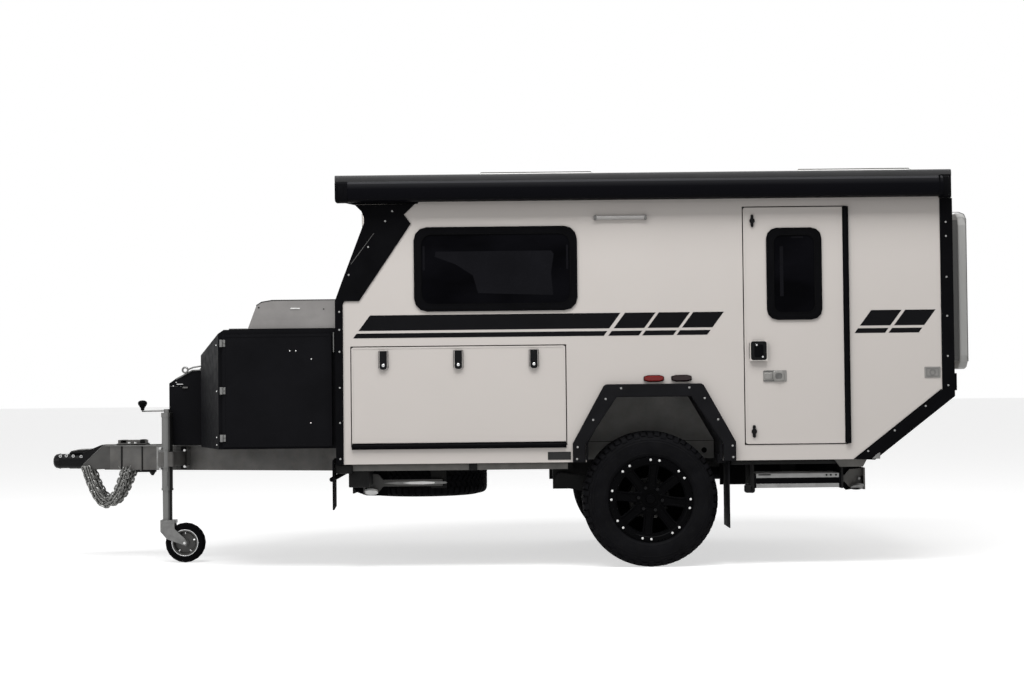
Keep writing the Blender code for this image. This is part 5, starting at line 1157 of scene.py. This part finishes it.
def add_spoke(shape, place, angle):
    """One channel-faced spoke, lofted from the hub out to the clamp ring."""
    along_u = Vector((math.cos(angle), math.sin(angle), 0))
    across = Vector((-math.sin(angle), math.cos(angle), 0))
    rings = []
    for radius, half, front in SPOKE_STATIONS:
        deep = 0.0055 if radius > 0.06 else 0.001
        section = ((-half + 0.002, front - 0.03), (-half, front - 0.004), (-half + 0.004, front),
                   (-half + 0.01, front), (-half + 0.0135, front - deep), (half - 0.0135, front - deep),
                   (half - 0.01, front), (half - 0.004, front), (half, front - 0.004),
                   (half - 0.002, front - 0.03))
        rings.append([shape.verts.new(place @ (along_u * radius + across * u + up(z))) for u, z in section])
    join_rings(shape, rings)


CLAMP_RING = ((0.203, 0.1165), (0.205, 0.1215), (0.211, 0.124), (0.216, 0.1232), (0.22, 0.1262),
              (0.2385, 0.127), (0.2435, 0.1245), (0.245, 0.119), (0.244, 0.1145), (0.22, 0.1125),
              (0.205, 0.11))
BARREL = ((0.215, 0.114), (0.216, 0.09), (0.2095, 0.07), (0.2095, -0.113), (0.2375, -0.115), (0.2375, -0.121),
          (0.204, -0.121), (0.204, 0.065), (0.1985, 0.086), (0.1985, 0.112))
HUB = ((0.004, 0.0835), (0.026, 0.0835), (0.03, 0.078), (0.056, 0.0765), (0.086, 0.0835), (0.095, 0.08),
       (0.098, 0.07), (0.09, 0.045), (0.07, 0.04), (0.004, 0.04))
CENTRE_CAP = ((0.001, 0.106), (0.02, 0.106), (0.0255, 0.104), (0.029, 0.099), (0.03, 0.078), (0.001, 0.078))
DRUM = ((0.03, -0.04), (0.07, -0.041), (0.074, -0.044), (0.118, -0.045), (0.124, -0.05), (0.1245, -0.13),
        (0.07, -0.1305), (0.03, -0.1305))
HUB_BARREL = ((0.026, 0.045), (0.06, 0.044), (0.062, -0.04), (0.026, -0.04))


def make_wheel(label, side):
    low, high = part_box(f"tyre_{label}")
    centre = (low + high) / 2
    turn = Matrix.Rotation(math.pi / 2 if side < 0 else -math.pi / 2, 4, "X")
    place = Matrix.Translation(centre) @ turn
    body = f"wheel_{label[0]}"
    shape = bmesh.new()
    add_tyre(shape, place)
    finish_piece(f"tyre_detail_{label}", shape, "tyre", body, 32, [f"tyre_{label}"])
    shape = bmesh.new()
    for profile in (CLAMP_RING, BARREL):
        lathe(shape, profile, 96, place)
    for profile in (HUB, CENTRE_CAP, HUB_BARREL):
        lathe(shape, profile, 48, place)
    first = math.pi / 2 - SPOKE_ANGLE
    for index in range(SPOKES):
        add_spoke(shape, place, first + index * math.tau / SPOKES)
    finish_piece(f"rim_detail_{label}", shape, "rim_black", body, 32, [f"rim_{label}"])
    bolts, nuts = bmesh.new(), bmesh.new()
    outward = place.to_3x3() @ up(1)
    for index in range(SPOKES):
        for way in (-1, 1):
            angle = first + index * math.tau / SPOKES + way * math.radians(6.4)
            dome(bolts, turned_point(place, 0.2305, 0.1268, angle), outward, 0.0072, 0.0052, 12, True)
    for index in range(6):
        angle = first + math.radians(30) + index * math.tau / 6
        foot, head = turned_point(place, 0.0698, 0.07, angle), turned_point(place, 0.0698, 0.0965, angle)
        drum(nuts, foot, head, 0.0105, 6, 0.0095)
    finish_piece(f"rim_bolts_{label}", bolts, "bolt_silver", body)
    finish_piece(f"rim_nuts_{label}", nuts, "gloss_black", body)
    shape = bmesh.new()
    lathe(shape, DRUM, 64, place)
    for index in range(12):
        angle = index * math.tau / 12
        add_lug(shape, place, ((0.1235, -0.052), (0.1285, -0.054), (0.1285, -0.124), (0.1235, -0.126)),
                angle - 0.03, angle + 0.03)
    finish_piece(f"brake_drum_{label}", shape, "drum_grey", body)
    shape = bmesh.new()
    lathe(shape, ((0.1235, -0.1175), (0.2045, -0.1175), (0.2045, -0.12), (0.1235, -0.12)), 64, place)
    finish_piece(f"drum_shield_{label}", shape, "rubber", body)
    shape = bmesh.new()
    down = place @ Matrix.Rotation(-math.pi / 2, 4, "Z")
    for offset, wide, near, far, top in ((-0.004, 0.026, 0.075, 0.128, -0.018),
                                         (0.036, 0.01, 0.07, 0.118, -0.022)):
        block(shape, (near, offset - wide, -0.046), (far, offset + wide, top), 0.004, down)
    finish_piece(f"drum_boss_{label}", shape, "boss_grey", body)


def make_pod_detail():
    low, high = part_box("rear_pod")
    shape = bmesh.new()
    for y, out in ends(low, high):
        outline = rect(low.x + 0.001, low.z + 0.05, low.x + 0.104, high.z - 0.049)
        slab(shape, outline, "XZ", y - out * 0.004, y + out * 0.0012)
    finish_piece("pod_bands", shape, "pod_band")
    shape = bmesh.new()
    for y, out in ends(low, high):
        edge = [(low.x, high.z - 0.001), (high.x - 0.045, high.z - 0.001), (high.x - 0.014, high.z - 0.014),
                (high.x - 0.001, high.z - 0.045), (high.x - 0.001, low.z + 0.045),
                (high.x - 0.0035, low.z + 0.045), (high.x - 0.0035, high.z - 0.044),
                (high.x - 0.016, high.z - 0.0165), (high.x - 0.046, high.z - 0.004), (low.x, high.z - 0.004)]
        slab(shape, edge, "XZ", y - out * 0.006, y + out * 0.0008)
    finish_piece("pod_edges", shape, "cast_grey")


def make_spare():
    low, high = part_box("spare_wheel")
    centre = Vector(((low.x + high.x) / 2, (low.y + high.y) / 2, low.z + TYRE_HALF))
    place = Matrix.Translation(centre)
    shape = bmesh.new()
    add_tyre(shape, place)
    for profile in (CLAMP_RING, BARREL):
        lathe(shape, [(r, -h) for r, h in profile], 72, place)
    lathe(shape, ((0.012, -0.098), (0.12, -0.098), (0.205, -0.09), (0.205, -0.082), (0.12, -0.09),
                  (0.012, -0.09)), 48, place)
    drum(shape, centre + up(-0.106), Vector((centre.x, centre.y, high.z)), 0.058, 32)
    finish_piece("spare_detail", shape, "tyre", "chassis", 32, ["spare_wheel"])


# Coupling, chains and jockey wheel

COUPLING_Z = 0.615
JOCKEY_X = -2.928
JOCKEY_Y = -0.345
CHAIN_PITCH = 0.0245


def make_coupling_detail():
    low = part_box("coupling")[0]
    x, z = low.x, COUPLING_Z
    black, bright = bmesh.new(), bmesh.new()
    for start, end, r0, r1 in ((0.0, 0.004, 0.026, 0.034), (0.004, 0.014, 0.034, 0.043),
                               (0.014, 0.04, 0.043, 0.049),
                               (0.04, 0.1, 0.046, 0.046), (0.1, 0.15, 0.049, 0.049),
                               (0.15, 0.196, 0.05, 0.048)):
        drum(black, (x + start, 0, z), (x + end, 0, z), r0, 32, r1)
    for px, lift in ((0.048, 0.0), (0.086, 0.002), (0.13, 0.0), (0.18, -0.004)):
        drum(bright, (x + px, -0.043, z + 0.033 + lift), (x + px, 0.043, z + 0.033 + lift), 0.0095, 12)
        drum(black, (x + px, -0.047, z + 0.033 + lift), (x + px, 0.047, z + 0.033 + lift), 0.0045, 8)
    lever = [(x + 0.1, z + 0.048), (x + 0.116, z + 0.066), (x + 0.18, z + 0.076), (x + 0.278, z + 0.078),
             (x + 0.284, z + 0.07), (x + 0.272, z + 0.054), (x + 0.19, z + 0.05)]
    slab(black, lever, "XZ", -0.03, 0.03)
    # painted highlight: a thin bright line along the lever's top edge
    pipe(bright, [(x + 0.11, -0.031, z + 0.064), (x + 0.18, -0.031, z + 0.077),
                  (x + 0.28, -0.031, z + 0.079)], 0.0016, 8)
    finish_piece("coupling_body", black, "gloss_black", "chassis", 30, ["coupling"])
    finish_piece("coupling_bright", bright, "bright_steel")


def add_link(shape, centre, way, flat, length=0.036, width=0.0215, wire=0.0052):
    """One chain link: a stadium of round wire in the plane of way and flat."""
    half = length / 2 - width / 2
    radius = width / 2
    points = []
    for index in range(12):
        angle = math.tau * (index + 0.5) / 12
        u, v = math.cos(angle) * radius, math.sin(angle) * radius
        points.append(centre + way * (u + math.copysign(half, u)) + flat * v)
    pipe(shape, points, wire, 7, True)


def chain_path(start, end, sag, count):
    points = []
    for index in range(count + 1):
        share = index / count
        point = Vector(start).lerp(Vector(end), share)
        point.z -= sag * 4 * share * (1 - share)
        points.append(point)
    return points


def make_chains_detail():
    for label, side in sides():
        shape = bmesh.new()
        y_front, y_rear = 0.0775 * side, 0.128 * side
        start, end = at(-3.5), at(-3.222)
        for shift, sag, twist in ((-0.008, 0.236, 0.4), (0.003, 0.224, 1.3), (0.014, 0.21, 0.8),
                                  (0.025, 0.194, 0.2)):
            path = chain_path((start + shift, y_front, 0.57), (end - shift, y_rear, 0.57), sag, 160)
            travelled, target, index = 0.0, 0.0, 0
            for before, after in zip(path, path[1:]):
                travelled += (after - before).length
                if travelled < target:
                    continue
                target += CHAIN_PITCH
                way = (after - before).normalized()
                base = way.cross(Vector((0, 1, 0))).normalized()
                turn = Matrix.Rotation(twist + index * math.pi / 2, 3, way)
                add_link(shape, (before + after) / 2 + Vector((0, side * 0.004 * math.sin(3 * twist), 0)),
                         way, turn @ base)
                index += 1
        y = y_rear + side * 0.004
        hook = [(end - 0.052, y, 0.586), (end - 0.038, y, 0.562), (end - 0.012, y, 0.541),
                (end + 0.012, y, 0.562), (end + 0.024, y, 0.59)]
        pipe(shape, hook, 0.0028, 8)
        finish_piece(f"chain_links_{label}", shape, "chain_steel", "chassis", 40, [f"safety_chain_{label}"])


def make_jockey_detail():
    foot = Vector((at(JOCKEY_X), JOCKEY_Y, 0))
    shape = bmesh.new()
    drum(shape, foot + up(0.89), foot + up(0.905), 0.0352, 32)
    drum(shape, foot + Vector((0.004, 0, 0.905)), foot + Vector((0.004, 0, 0.938)), 0.0225, 16)
    drum(shape, foot + up(0.4435), foot + up(0.456), 0.0362, 32)
    block(shape, foot + Vector((-0.006, -0.0395, 0.47)), foot + Vector((0.006, -0.03, 0.56)), 0.002)
    drum(shape, foot + Vector((0, -0.0135, 0.584)), foot + Vector((0, -0.0135, 0.686)), 0.0335, 32)
    finish_piece("jockey_bands", shape, "post_zinc_painted_shade")
    shape = bmesh.new()
    knob = foot + Vector((-0.1505, 0, 0))
    lathe(shape, ((0.0105, 0.9365), (0.0125, 0.95), (0.019, 0.96), (0.0265, 0.971), (0.0285, 0.982),
                  (0.024, 0.991), (0.014, 0.9965), (0.001, 0.998), (0.001, 0.937)), 24,
                  Matrix.Translation(knob))
    finish_piece("jockey_knob", shape, "rubber")
    shape = bmesh.new()
    for x, z in ((-0.04, 0.7015), (-0.04, 0.574), (0.036, 0.6566), (0.11, 0.6886), (0.11, 0.5889)):
        drum(shape, foot + Vector((x, 0.12, z)), foot + Vector((x, -0.026, z)), 0.0105 if x == 0.036
             else 0.0075, 10)
    finish_piece("clamp_bolts", shape, "bright_steel")
    low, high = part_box("jockey_tyre")
    axle = (low + high) / 2
    y_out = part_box("jockey_fork")[0].y
    shape = bmesh.new()
    drum(shape, (axle.x, y_out + 0.001, axle.z), (axle.x, y_out - 0.003, axle.z), 0.0085, 6)
    finish_piece("jockey_axle_nut", shape, "bright_steel", "jockey_swivel")
    shape = bmesh.new()
    place = Matrix.Translation(axle) @ Matrix.Rotation(math.pi / 2, 4, "X")
    for way in (-1, 1):
        lathe(shape, [(r, way * h) for r, h in ((0.0735, 0.022), (0.078, 0.0285), (0.0835, 0.0292),
                                                (0.0865, 0.0275), (0.0865, 0.0255), (0.0825, 0.0262),
                                                (0.0785, 0.024), (0.0755, 0.019))], 48, place)
        for index in range(5):
            angle = math.tau * index / 5 + 0.3
            outer = turned_point(place, 0.064, way * 0.012, angle)
            inner = turned_point(place, 0.052, way * 0.013, angle)
            drum(shape, inner, outer, 0.006, 10)
    finish_piece("jockey_rim_lip", shape, "bright_steel", "jockey_roller")


def drawbar_face(x):
    """How far the A-frame's outer face is from the middle, at an X measured from the axle."""
    return 0.055 + 0.47 * (x + 3.38) / 1.59


def make_drawbar_detail():
    nose = at(-3.711) + 0.196
    plates, bolts, dark, light, black = (bmesh.new() for _ in range(5))
    for side in (-1, 1):
        face = 0.0622
        outline = [(nose + 0.004, 0.562), (nose + 0.004, 0.664), (nose + 0.118, 0.7155),
                   (nose + 0.398, 0.7155), (nose + 0.398, 0.7), (nose + 0.23, 0.652), (nose + 0.19, 0.566)]
        side_slab(plates, outline, side, face - 0.002, face + 0.004, 0.001)
        for x, wide in ((nose + 0.246, 0.011), (nose + 0.384, 0.009)):
            y = max(drawbar_face(x - AXLE_X) + 0.0035, face + 0.004)
            block(dark, (x, side * (y - 0.004), 0.5605), (x + wide, side * (y + 0.002), 0.7095), 0.001)
        side_slab(black, spots((-3.517, 0.592), (-3.4356, 0.6705), (-3.3835, 0.7168), (-3.398, 0.7168),
                               (-3.517, 0.668)), side, face + 0.002, face + 0.006)
        # painted highlight: a thin light line along the nose cover's sloped edge
        pipe(light, [(at(-3.515), side * (face + 0.005), 0.5925),
                     (at(-3.4356), side * (face + 0.005), 0.6695),
                     (at(-3.3835), side * (face + 0.005), 0.7158)], 0.0014, 6)
        # painted highlights: thin light lines beside the two straps
        for x, low, y in ((-3.2765, 0.64, 0.0665), (-3.1372, 0.552, 0.112 + 0.0075)):
            block(light, (at(x) - 0.0015, side * (y - 0.004), low),
                  (at(x) + 0.0015, side * (y + 0.003), 0.709), 0.0005)
    block(plates, (at(-3.3), -0.075, 0.7181), (at(-3.12), 0.075, 0.724), 0.001)
    block(dark, (at(-3.285), -0.03, 0.724), (at(-3.245), 0.03, 0.746), 0.003)
    block(dark, (at(-3.16), -0.035, 0.724), (at(-3.13), 0.035, 0.748), 0.003)
    drum(bolts, (at(-3.245), 0, 0.737), (at(-3.16), 0, 0.737), 0.0075, 14)
    for x in (-3.225, -3.185):
        drum(bolts, (at(x), -0.05, 0.7235), (at(x), -0.05, 0.7325), 0.009, 6)
    for side in (-1, 1):
        for x0, x1, kind in ((-3.03, -2.984, light), (-2.9, -2.869, plates), (-2.869, -2.832, dark),
                             (-2.832, -2.806, plates)):
            y0, y1 = drawbar_face(x0), drawbar_face(x1)
            outline = spots((x0, side * (y0 - 0.002)), (x1, side * (y1 - 0.002)), (x1, side * (y1 + 0.006)),
                            (x0, side * (y0 + 0.006)))
            slab(kind, outline, "XY", 0.566, 0.706)
    # painted highlight: the A-frame's top flange drawn as a thin strip of lighter steel
    for side in (-1, 1):
        ledge = spots((-3.36, side * 0.05), (-1.8, side * 0.503), (-1.8, side * 0.5275),
                      (-3.38, side * 0.065))
        slab(light, ledge, "XY", 0.7092, 0.7125)
    finish_piece("drawbar_edge_highlights", light, "edge_steel")
    finish_piece("nose_covers", black, "gloss_black")
    shape = bmesh.new()
    line = [(-3.583, 0.6805), (-3.5506, 0.6867), (-3.4284, 0.6897), (-3.395, 0.706)]
    pipe(shape, [(at(x), -0.03, z) for x, z in line], 0.0034, 8)
    finish_piece("coupling_line", shape, "edge_steel")
    finish_piece("drawbar_plates", plates, "nose_grey")
    finish_piece("drawbar_straps", dark, "chassis_dark")
    finish_piece("drawbar_bolts", bolts, "bolt_silver")
    shape = bmesh.new()
    block(shape, (at(-3.17), -0.12, 0.545), (at(-3.045), -0.085, 0.56), 0.003)
    drum(shape, (at(-3.0678), -0.103, 0.548), (at(-3.0678), -0.103, 0.524), 0.022, 20, 0.007)
    finish_piece("plug_holder", shape, "chassis_dark")


# Front boxes

BOX_FACE = 0.9298

def make_box_detail():
    low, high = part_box("toolbox_door_left")
    for label, side in sides():
        body = f"tool_flap_{label[0]}"
        face = BOX_FACE
        shape = bmesh.new()
        edge_low, edge_high = low.z + 0.001, high.z - 0.001
        outer = rect(low.x + 0.003, edge_low, high.x - 0.001, edge_high)
        inner = rect(low.x + 0.02, edge_low + 0.014, high.x - 0.016, edge_high - 0.014)
        side_ring(shape, outer, inner, side, face - SUNK, face + 0.0016)
        finish_piece(f"flap_edge_{label}", shape, "box_black", body)
        shape = bmesh.new()
        for x, z in ((-2.097, 1.282), (-2.062, 1.282), (-1.9715, 1.2328), (-1.977, 0.86)):
            dome(shape, (at(x), side * face, z), (0, side, 0), 0.0042, 0.003, 10)
        finish_piece(f"flap_rivets_{label}", shape, "bolt_silver", body)
        shape, keeps = bmesh.new(), bmesh.new()
        axis = face + 0.009
        for z in (1.33, 1.053, 0.776):
            drum(shape, (at(-2.4965), side * axis, z - 0.021),
                 (at(-2.4965), side * axis, z + 0.021), 0.0098, 16)
            side_block(shape, side, (-2.4965, -2.474), (face + 0.002, face + 0.006),
                       (z - 0.02, z + 0.02), 0.0015)
            dome(keeps, (at(-2.479), side * (face + 0.006), z), (0, side, 0), 0.004, 0.0025, 10)
        finish_piece(f"flap_hinges_{label}", shape, "hinge_steel", body)
        finish_piece(f"flap_hinge_screws_{label}", keeps, "cast_grey", body)
        shape = bmesh.new()
        for z in (1.32, 1.05, 0.78, 0.737):
            dome(shape, (at(-2.531), side * 0.8975, z), (-0.9, side * 0.45, 0), 0.0042, 0.004, 10)
        finish_piece(f"nose_rivets_{label}", shape, "bolt_silver")
        shape = bmesh.new()
        side_slab(shape, rect(at(-1.844), 1.272, at(-1.8385), 1.388), side, 0.9045, 0.93)
        finish_piece(f"flap_stop_{label}", shape, "hinge_steel")
    shape = bmesh.new()
    block(shape, (at(-2.46), -0.88, 1.4103), (at(-2.352), 0.88, 1.4175), 0.002)
    finish_piece("toolbox_lip", shape, "nose_grey")
    low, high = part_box("top_box")
    shape = bmesh.new()
    block(shape, (at(-2.353), low.y - 0.004, 1.387), (at(-1.828), low.y + 0.004, 1.415))
    block(shape, (at(-2.353), high.y - 0.004, 1.387), (at(-1.828), high.y + 0.004, 1.415))
    block(shape, (low.x + 0.002, low.y - 0.0015, 1.4104), (high.x - 0.001, low.y + 0.002, 1.416))
    block(shape, (low.x + 0.002, high.y - 0.002, 1.4104), (high.x - 0.001, high.y + 0.0015, 1.416))
    finish_piece("top_box_base", shape, "trim_black")
    shape = bmesh.new()
    for y, out in ends(low, high):
        line = spots((-2.205, 1.585), (-1.829, 1.585), (-1.829, 1.58), (-2.208, 1.58), (-2.272, 1.569),
                     (-2.301, 1.5505), (-2.304, 1.554), (-2.272, 1.5745))
        slab(shape, line, "XZ", y - out * 0.002, y + out * 0.0015)
        dome(shape, (at(-2.287), y, 1.54), (0, out, 0), 0.005, 0.003, 12)
        dome(shape, (at(-1.905), y, 1.528), (0, out, 0), 0.004, 0.003, 12)
    finish_piece("top_box_lid_edge", shape, "chassis_dark")
    shape = bmesh.new()
    for y, out in ends(low, high):
        block(shape, (at(-2.1), y, 1.53), (at(-2.045), y + out * 0.006, 1.536), 0.001)
    finish_piece("top_box_handles", shape, "bolt_silver")
    low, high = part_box("front_locker_lid")
    edge, bright = bmesh.new(), bmesh.new()
    x, top, rim = low.x, high.z, low.z
    stay = bmesh.new()
    for y, out in ends(low, high):
        line = [(x + 0.04, top - 0.055), (x + 0.142, top - 0.002), (high.x - 0.002, top + 0.0005),
                (high.x - 0.002, top - 0.006), (x + 0.144, top - 0.009), (x + 0.044, top - 0.062)]
        slab(edge, line, "XZ", y - out * 0.002, y + out * 0.0015)
    finish_piece("locker_edge", edge, "hinge_steel", "locker_flap")
    for y, out in ends(low, high):
        ring = [Vector((x + 0.102 + 0.0165 * math.cos(a), y + out * 0.014,
                        top - 0.003 + 0.0165 * math.sin(a))) for a in (math.tau * k / 16 for k in range(16))]
        pipe(stay, ring, 0.0062, 8, True)
        pipe(stay, [(x + 0.12, y + out * 0.014, top + 0.0), (x + 0.15, y + out * 0.014, top + 0.012),
                    (x + 0.198, y + out * 0.014, top + 0.02)], 0.005, 8)
        block(bright, (x + 0.046, y, rim + 0.012), (x + 0.086, y + out * 0.005, rim + 0.017), 0.0008)
        for dx, dz in ((0.026, 0.004), (0.044, 0.026)):
            dome(bright, (x + dx, y, rim + dz), (0, out, 0), 0.0042, 0.003, 10)
    finish_piece("locker_bright", bright, "bright_steel", "locker_flap")
    finish_piece("locker_stay", stay, "hinge_steel")
    shape = bmesh.new()
    for y, out in ends(low, high):
        block(shape, (x + 0.084, y, rim - 0.012), (x + 0.116, y + out * 0.008, rim - 0.002), 0.002)
    finish_piece("locker_catch", shape, "cast_grey")


# Below the floor

LEG_PIVOT_Z = 0.487


def make_under_detail():
    grey, dark, steel, bright, guards = (bmesh.new() for _ in range(5))
    for side in (-1, 1):
        side_block(grey, side, (-1.765, -0.48), (0.905, 0.935), (0.576, 0.6168), 0.002)
        side_block(dark, side, (0.47, 1.1), (0.905, 0.935), (0.59, 0.6168), 0.002)
        side_block(dark, side, (-1.056, -1.008), (0.93, 0.942), (0.574, 0.6165), 0.001)
        side_block(dark, side, (-1.838, -1.735), (0.9, 0.955), (0.562, 0.6166), 0.012)
        reach = 0.92 if side < 0 else 0.572
        side_block(dark, side, (-1.76, -1.64), (0.56, reach), (0.48, 0.61), 0.006)
        guard = rounded([(at(-1.79), 0.6, 0), (at(-1.785), 0.485, 0.03), (at(-1.752), 0.43, 0.03),
                         (at(-1.69), 0.408, 0.02), (at(-1.56), 0.405, 0), (at(-1.56), 0.6, 0)], 4)
        side_slab(guards, guard, side, 0.5, 0.512)
        side_slab(steel, spots((1.072, 0.6165), (1.262, 0.6165), (1.238, 0.572), (1.105, 0.572)),
                  side, 0.905, 0.95)
        side_slab(bright, spots((1.283, 0.6185), (1.331, 0.6185), (1.331, 0.6555), (1.318, 0.65)), side,
                  0.9815, 0.9895)
        side_block(dark, side, (0.584, 0.6005), (0.7, 0.93), (0.424, 0.616), 0.002)
        side_block(dark, side, (0.551, 0.612), (0.88, 0.93), (0.424, 0.474), 0.012)
    finish_piece("leg_guards", guards, "trim_black")
    finish_piece("rear_bits", bright, "galvanised")
    skirt = bmesh.new()
    for side in (-1, 1):
        side_block(skirt, side, (0.47, 1.3), (0.515, 0.527), (0.5, 0.63))
        side_block(skirt, side, (0.45, 0.67), (0.528, 0.532), (0.452, 0.63))
    finish_piece("under_skirts", skirt, "rubber")
    finish_piece("side_sills", grey, "frame_grey")
    finish_piece("sill_brackets", dark, "chassis_dark")
    finish_piece("rear_brackets", steel, "frame_grey")
    for place in ("front", "rear"):
        way = -1 if place == "front" else 1
        for label, side in sides():
            low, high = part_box(f"leg_{place}_{label}")
            end = low.x if way < 0 else high.x
            middle = (low.y + high.y) / 2
            body = f"steady_{place}_{label[0]}"
            shape = bmesh.new()
            drum(shape, (end - way * 0.033, middle - 0.052, LEG_PIVOT_Z),
                 (end - way * 0.033, middle + 0.052, LEG_PIVOT_Z), 0.008, 14)
            # painted highlight: a thin lens-shaped slab of lighter steel on the front leg tube's near side
            highlight_lens = [(-0.385, 0.0), (-0.3, 0.008), (-0.15, 0.0115), (-0.01, 0.006), (0.0, 0.0),
                      (-0.01, -0.006), (-0.15, -0.0115), (-0.3, -0.008)]
            if place == "front":
                side_slab(shape, [(at(-1.195) + x, LEG_PIVOT_Z + z) for x, z in highlight_lens], side, 0.619, 0.6206)
            finish_piece(f"leg_fittings_{place}_{label}", shape, "galvanised", body)
            shape = bmesh.new()
            pad = Vector((end - way * 0.045, side * 0.652, 0.4385))
            tilt = Vector((0, side * 0.42, -1)).normalized()
            drum(shape, pad - tilt * 0.006, pad + tilt * 0.006, 0.042, 24)
            # the highlight's brighter core, also painted, in bolt silver
            if place == "front":
                side_slab(shape, [(at(-1.27) + 0.5 * x, LEG_PIVOT_Z + 0.75 * z) for x, z in highlight_lens], side,
                          0.62, 0.6212)
            if place == "rear":
                loop = bmesh.new()
                track = [(1.166, 0.452), (1.193, 0.424), (1.23, 0.429), (1.266, 0.426), (1.29, 0.44),
                         (1.296, 0.468), (1.288, 0.5)]
                pipe(loop, [(at(x), side * 0.64, z) for x, z in track], 0.006, 8)
                web = spots((1.168, 0.56), (1.168, 0.452), (1.193, 0.424), (1.232, 0.424), (1.262, 0.56))
                side_slab(loop, web, side, 0.598, 0.602)
                finish_piece(f"leg_loop_{label}", loop, "trim_black", body)
            finish_piece(f"leg_pads_{place}_{label}", shape, "bolt_silver" if place == "front"
                         else "galvanised", body)
    low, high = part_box("entry_step")
    shape = bmesh.new()
    for index in range(9):
        y = low.y + 0.018 + index * 0.028
        block(shape, (low.x + 0.01, y, high.z - 0.0005), (high.x - 0.01, y + 0.01, high.z + 0.0016))
    finish_piece("step_ribs", shape, "step_grey", "step")
    shape = bmesh.new()
    for x in (low.x, high.x - 0.012):
        block(shape, (x - 0.0008, low.y - 0.0008, low.z - 0.0005),
              (x + 0.0128, high.y + 0.0005, high.z + 0.0005), 0.0004)
    block(shape, (low.x + 0.012, low.y + 0.012, 0.477), (high.x - 0.012, low.y + 0.02, 0.5105))
    block(shape, (low.x + 0.026, low.y - 0.001, 0.5255), (low.x + 0.098, low.y + 0.001, 0.5325))
    for x in (0.03, 0.06, 0.085):
        drum(shape, (high.x - x, low.y - 0.0012, 0.525), (high.x - x, low.y + 0.001, 0.525), 0.006, 12)
    finish_piece("step_shadow_parts", shape, "trim_black", "step")


make_stripes()
make_trim_detail()
make_arch_detail()
make_window_detail()
make_awning_detail()
make_roof_detail()
make_door_detail()
make_hatch_detail()
make_wall_fittings()
make_wheel("left", -1)
make_wheel("right", 1)
make_spare()
make_pod_detail()
make_coupling_detail()
make_chains_detail()
make_jockey_detail()
make_drawbar_detail()
make_box_detail()
make_under_detail()
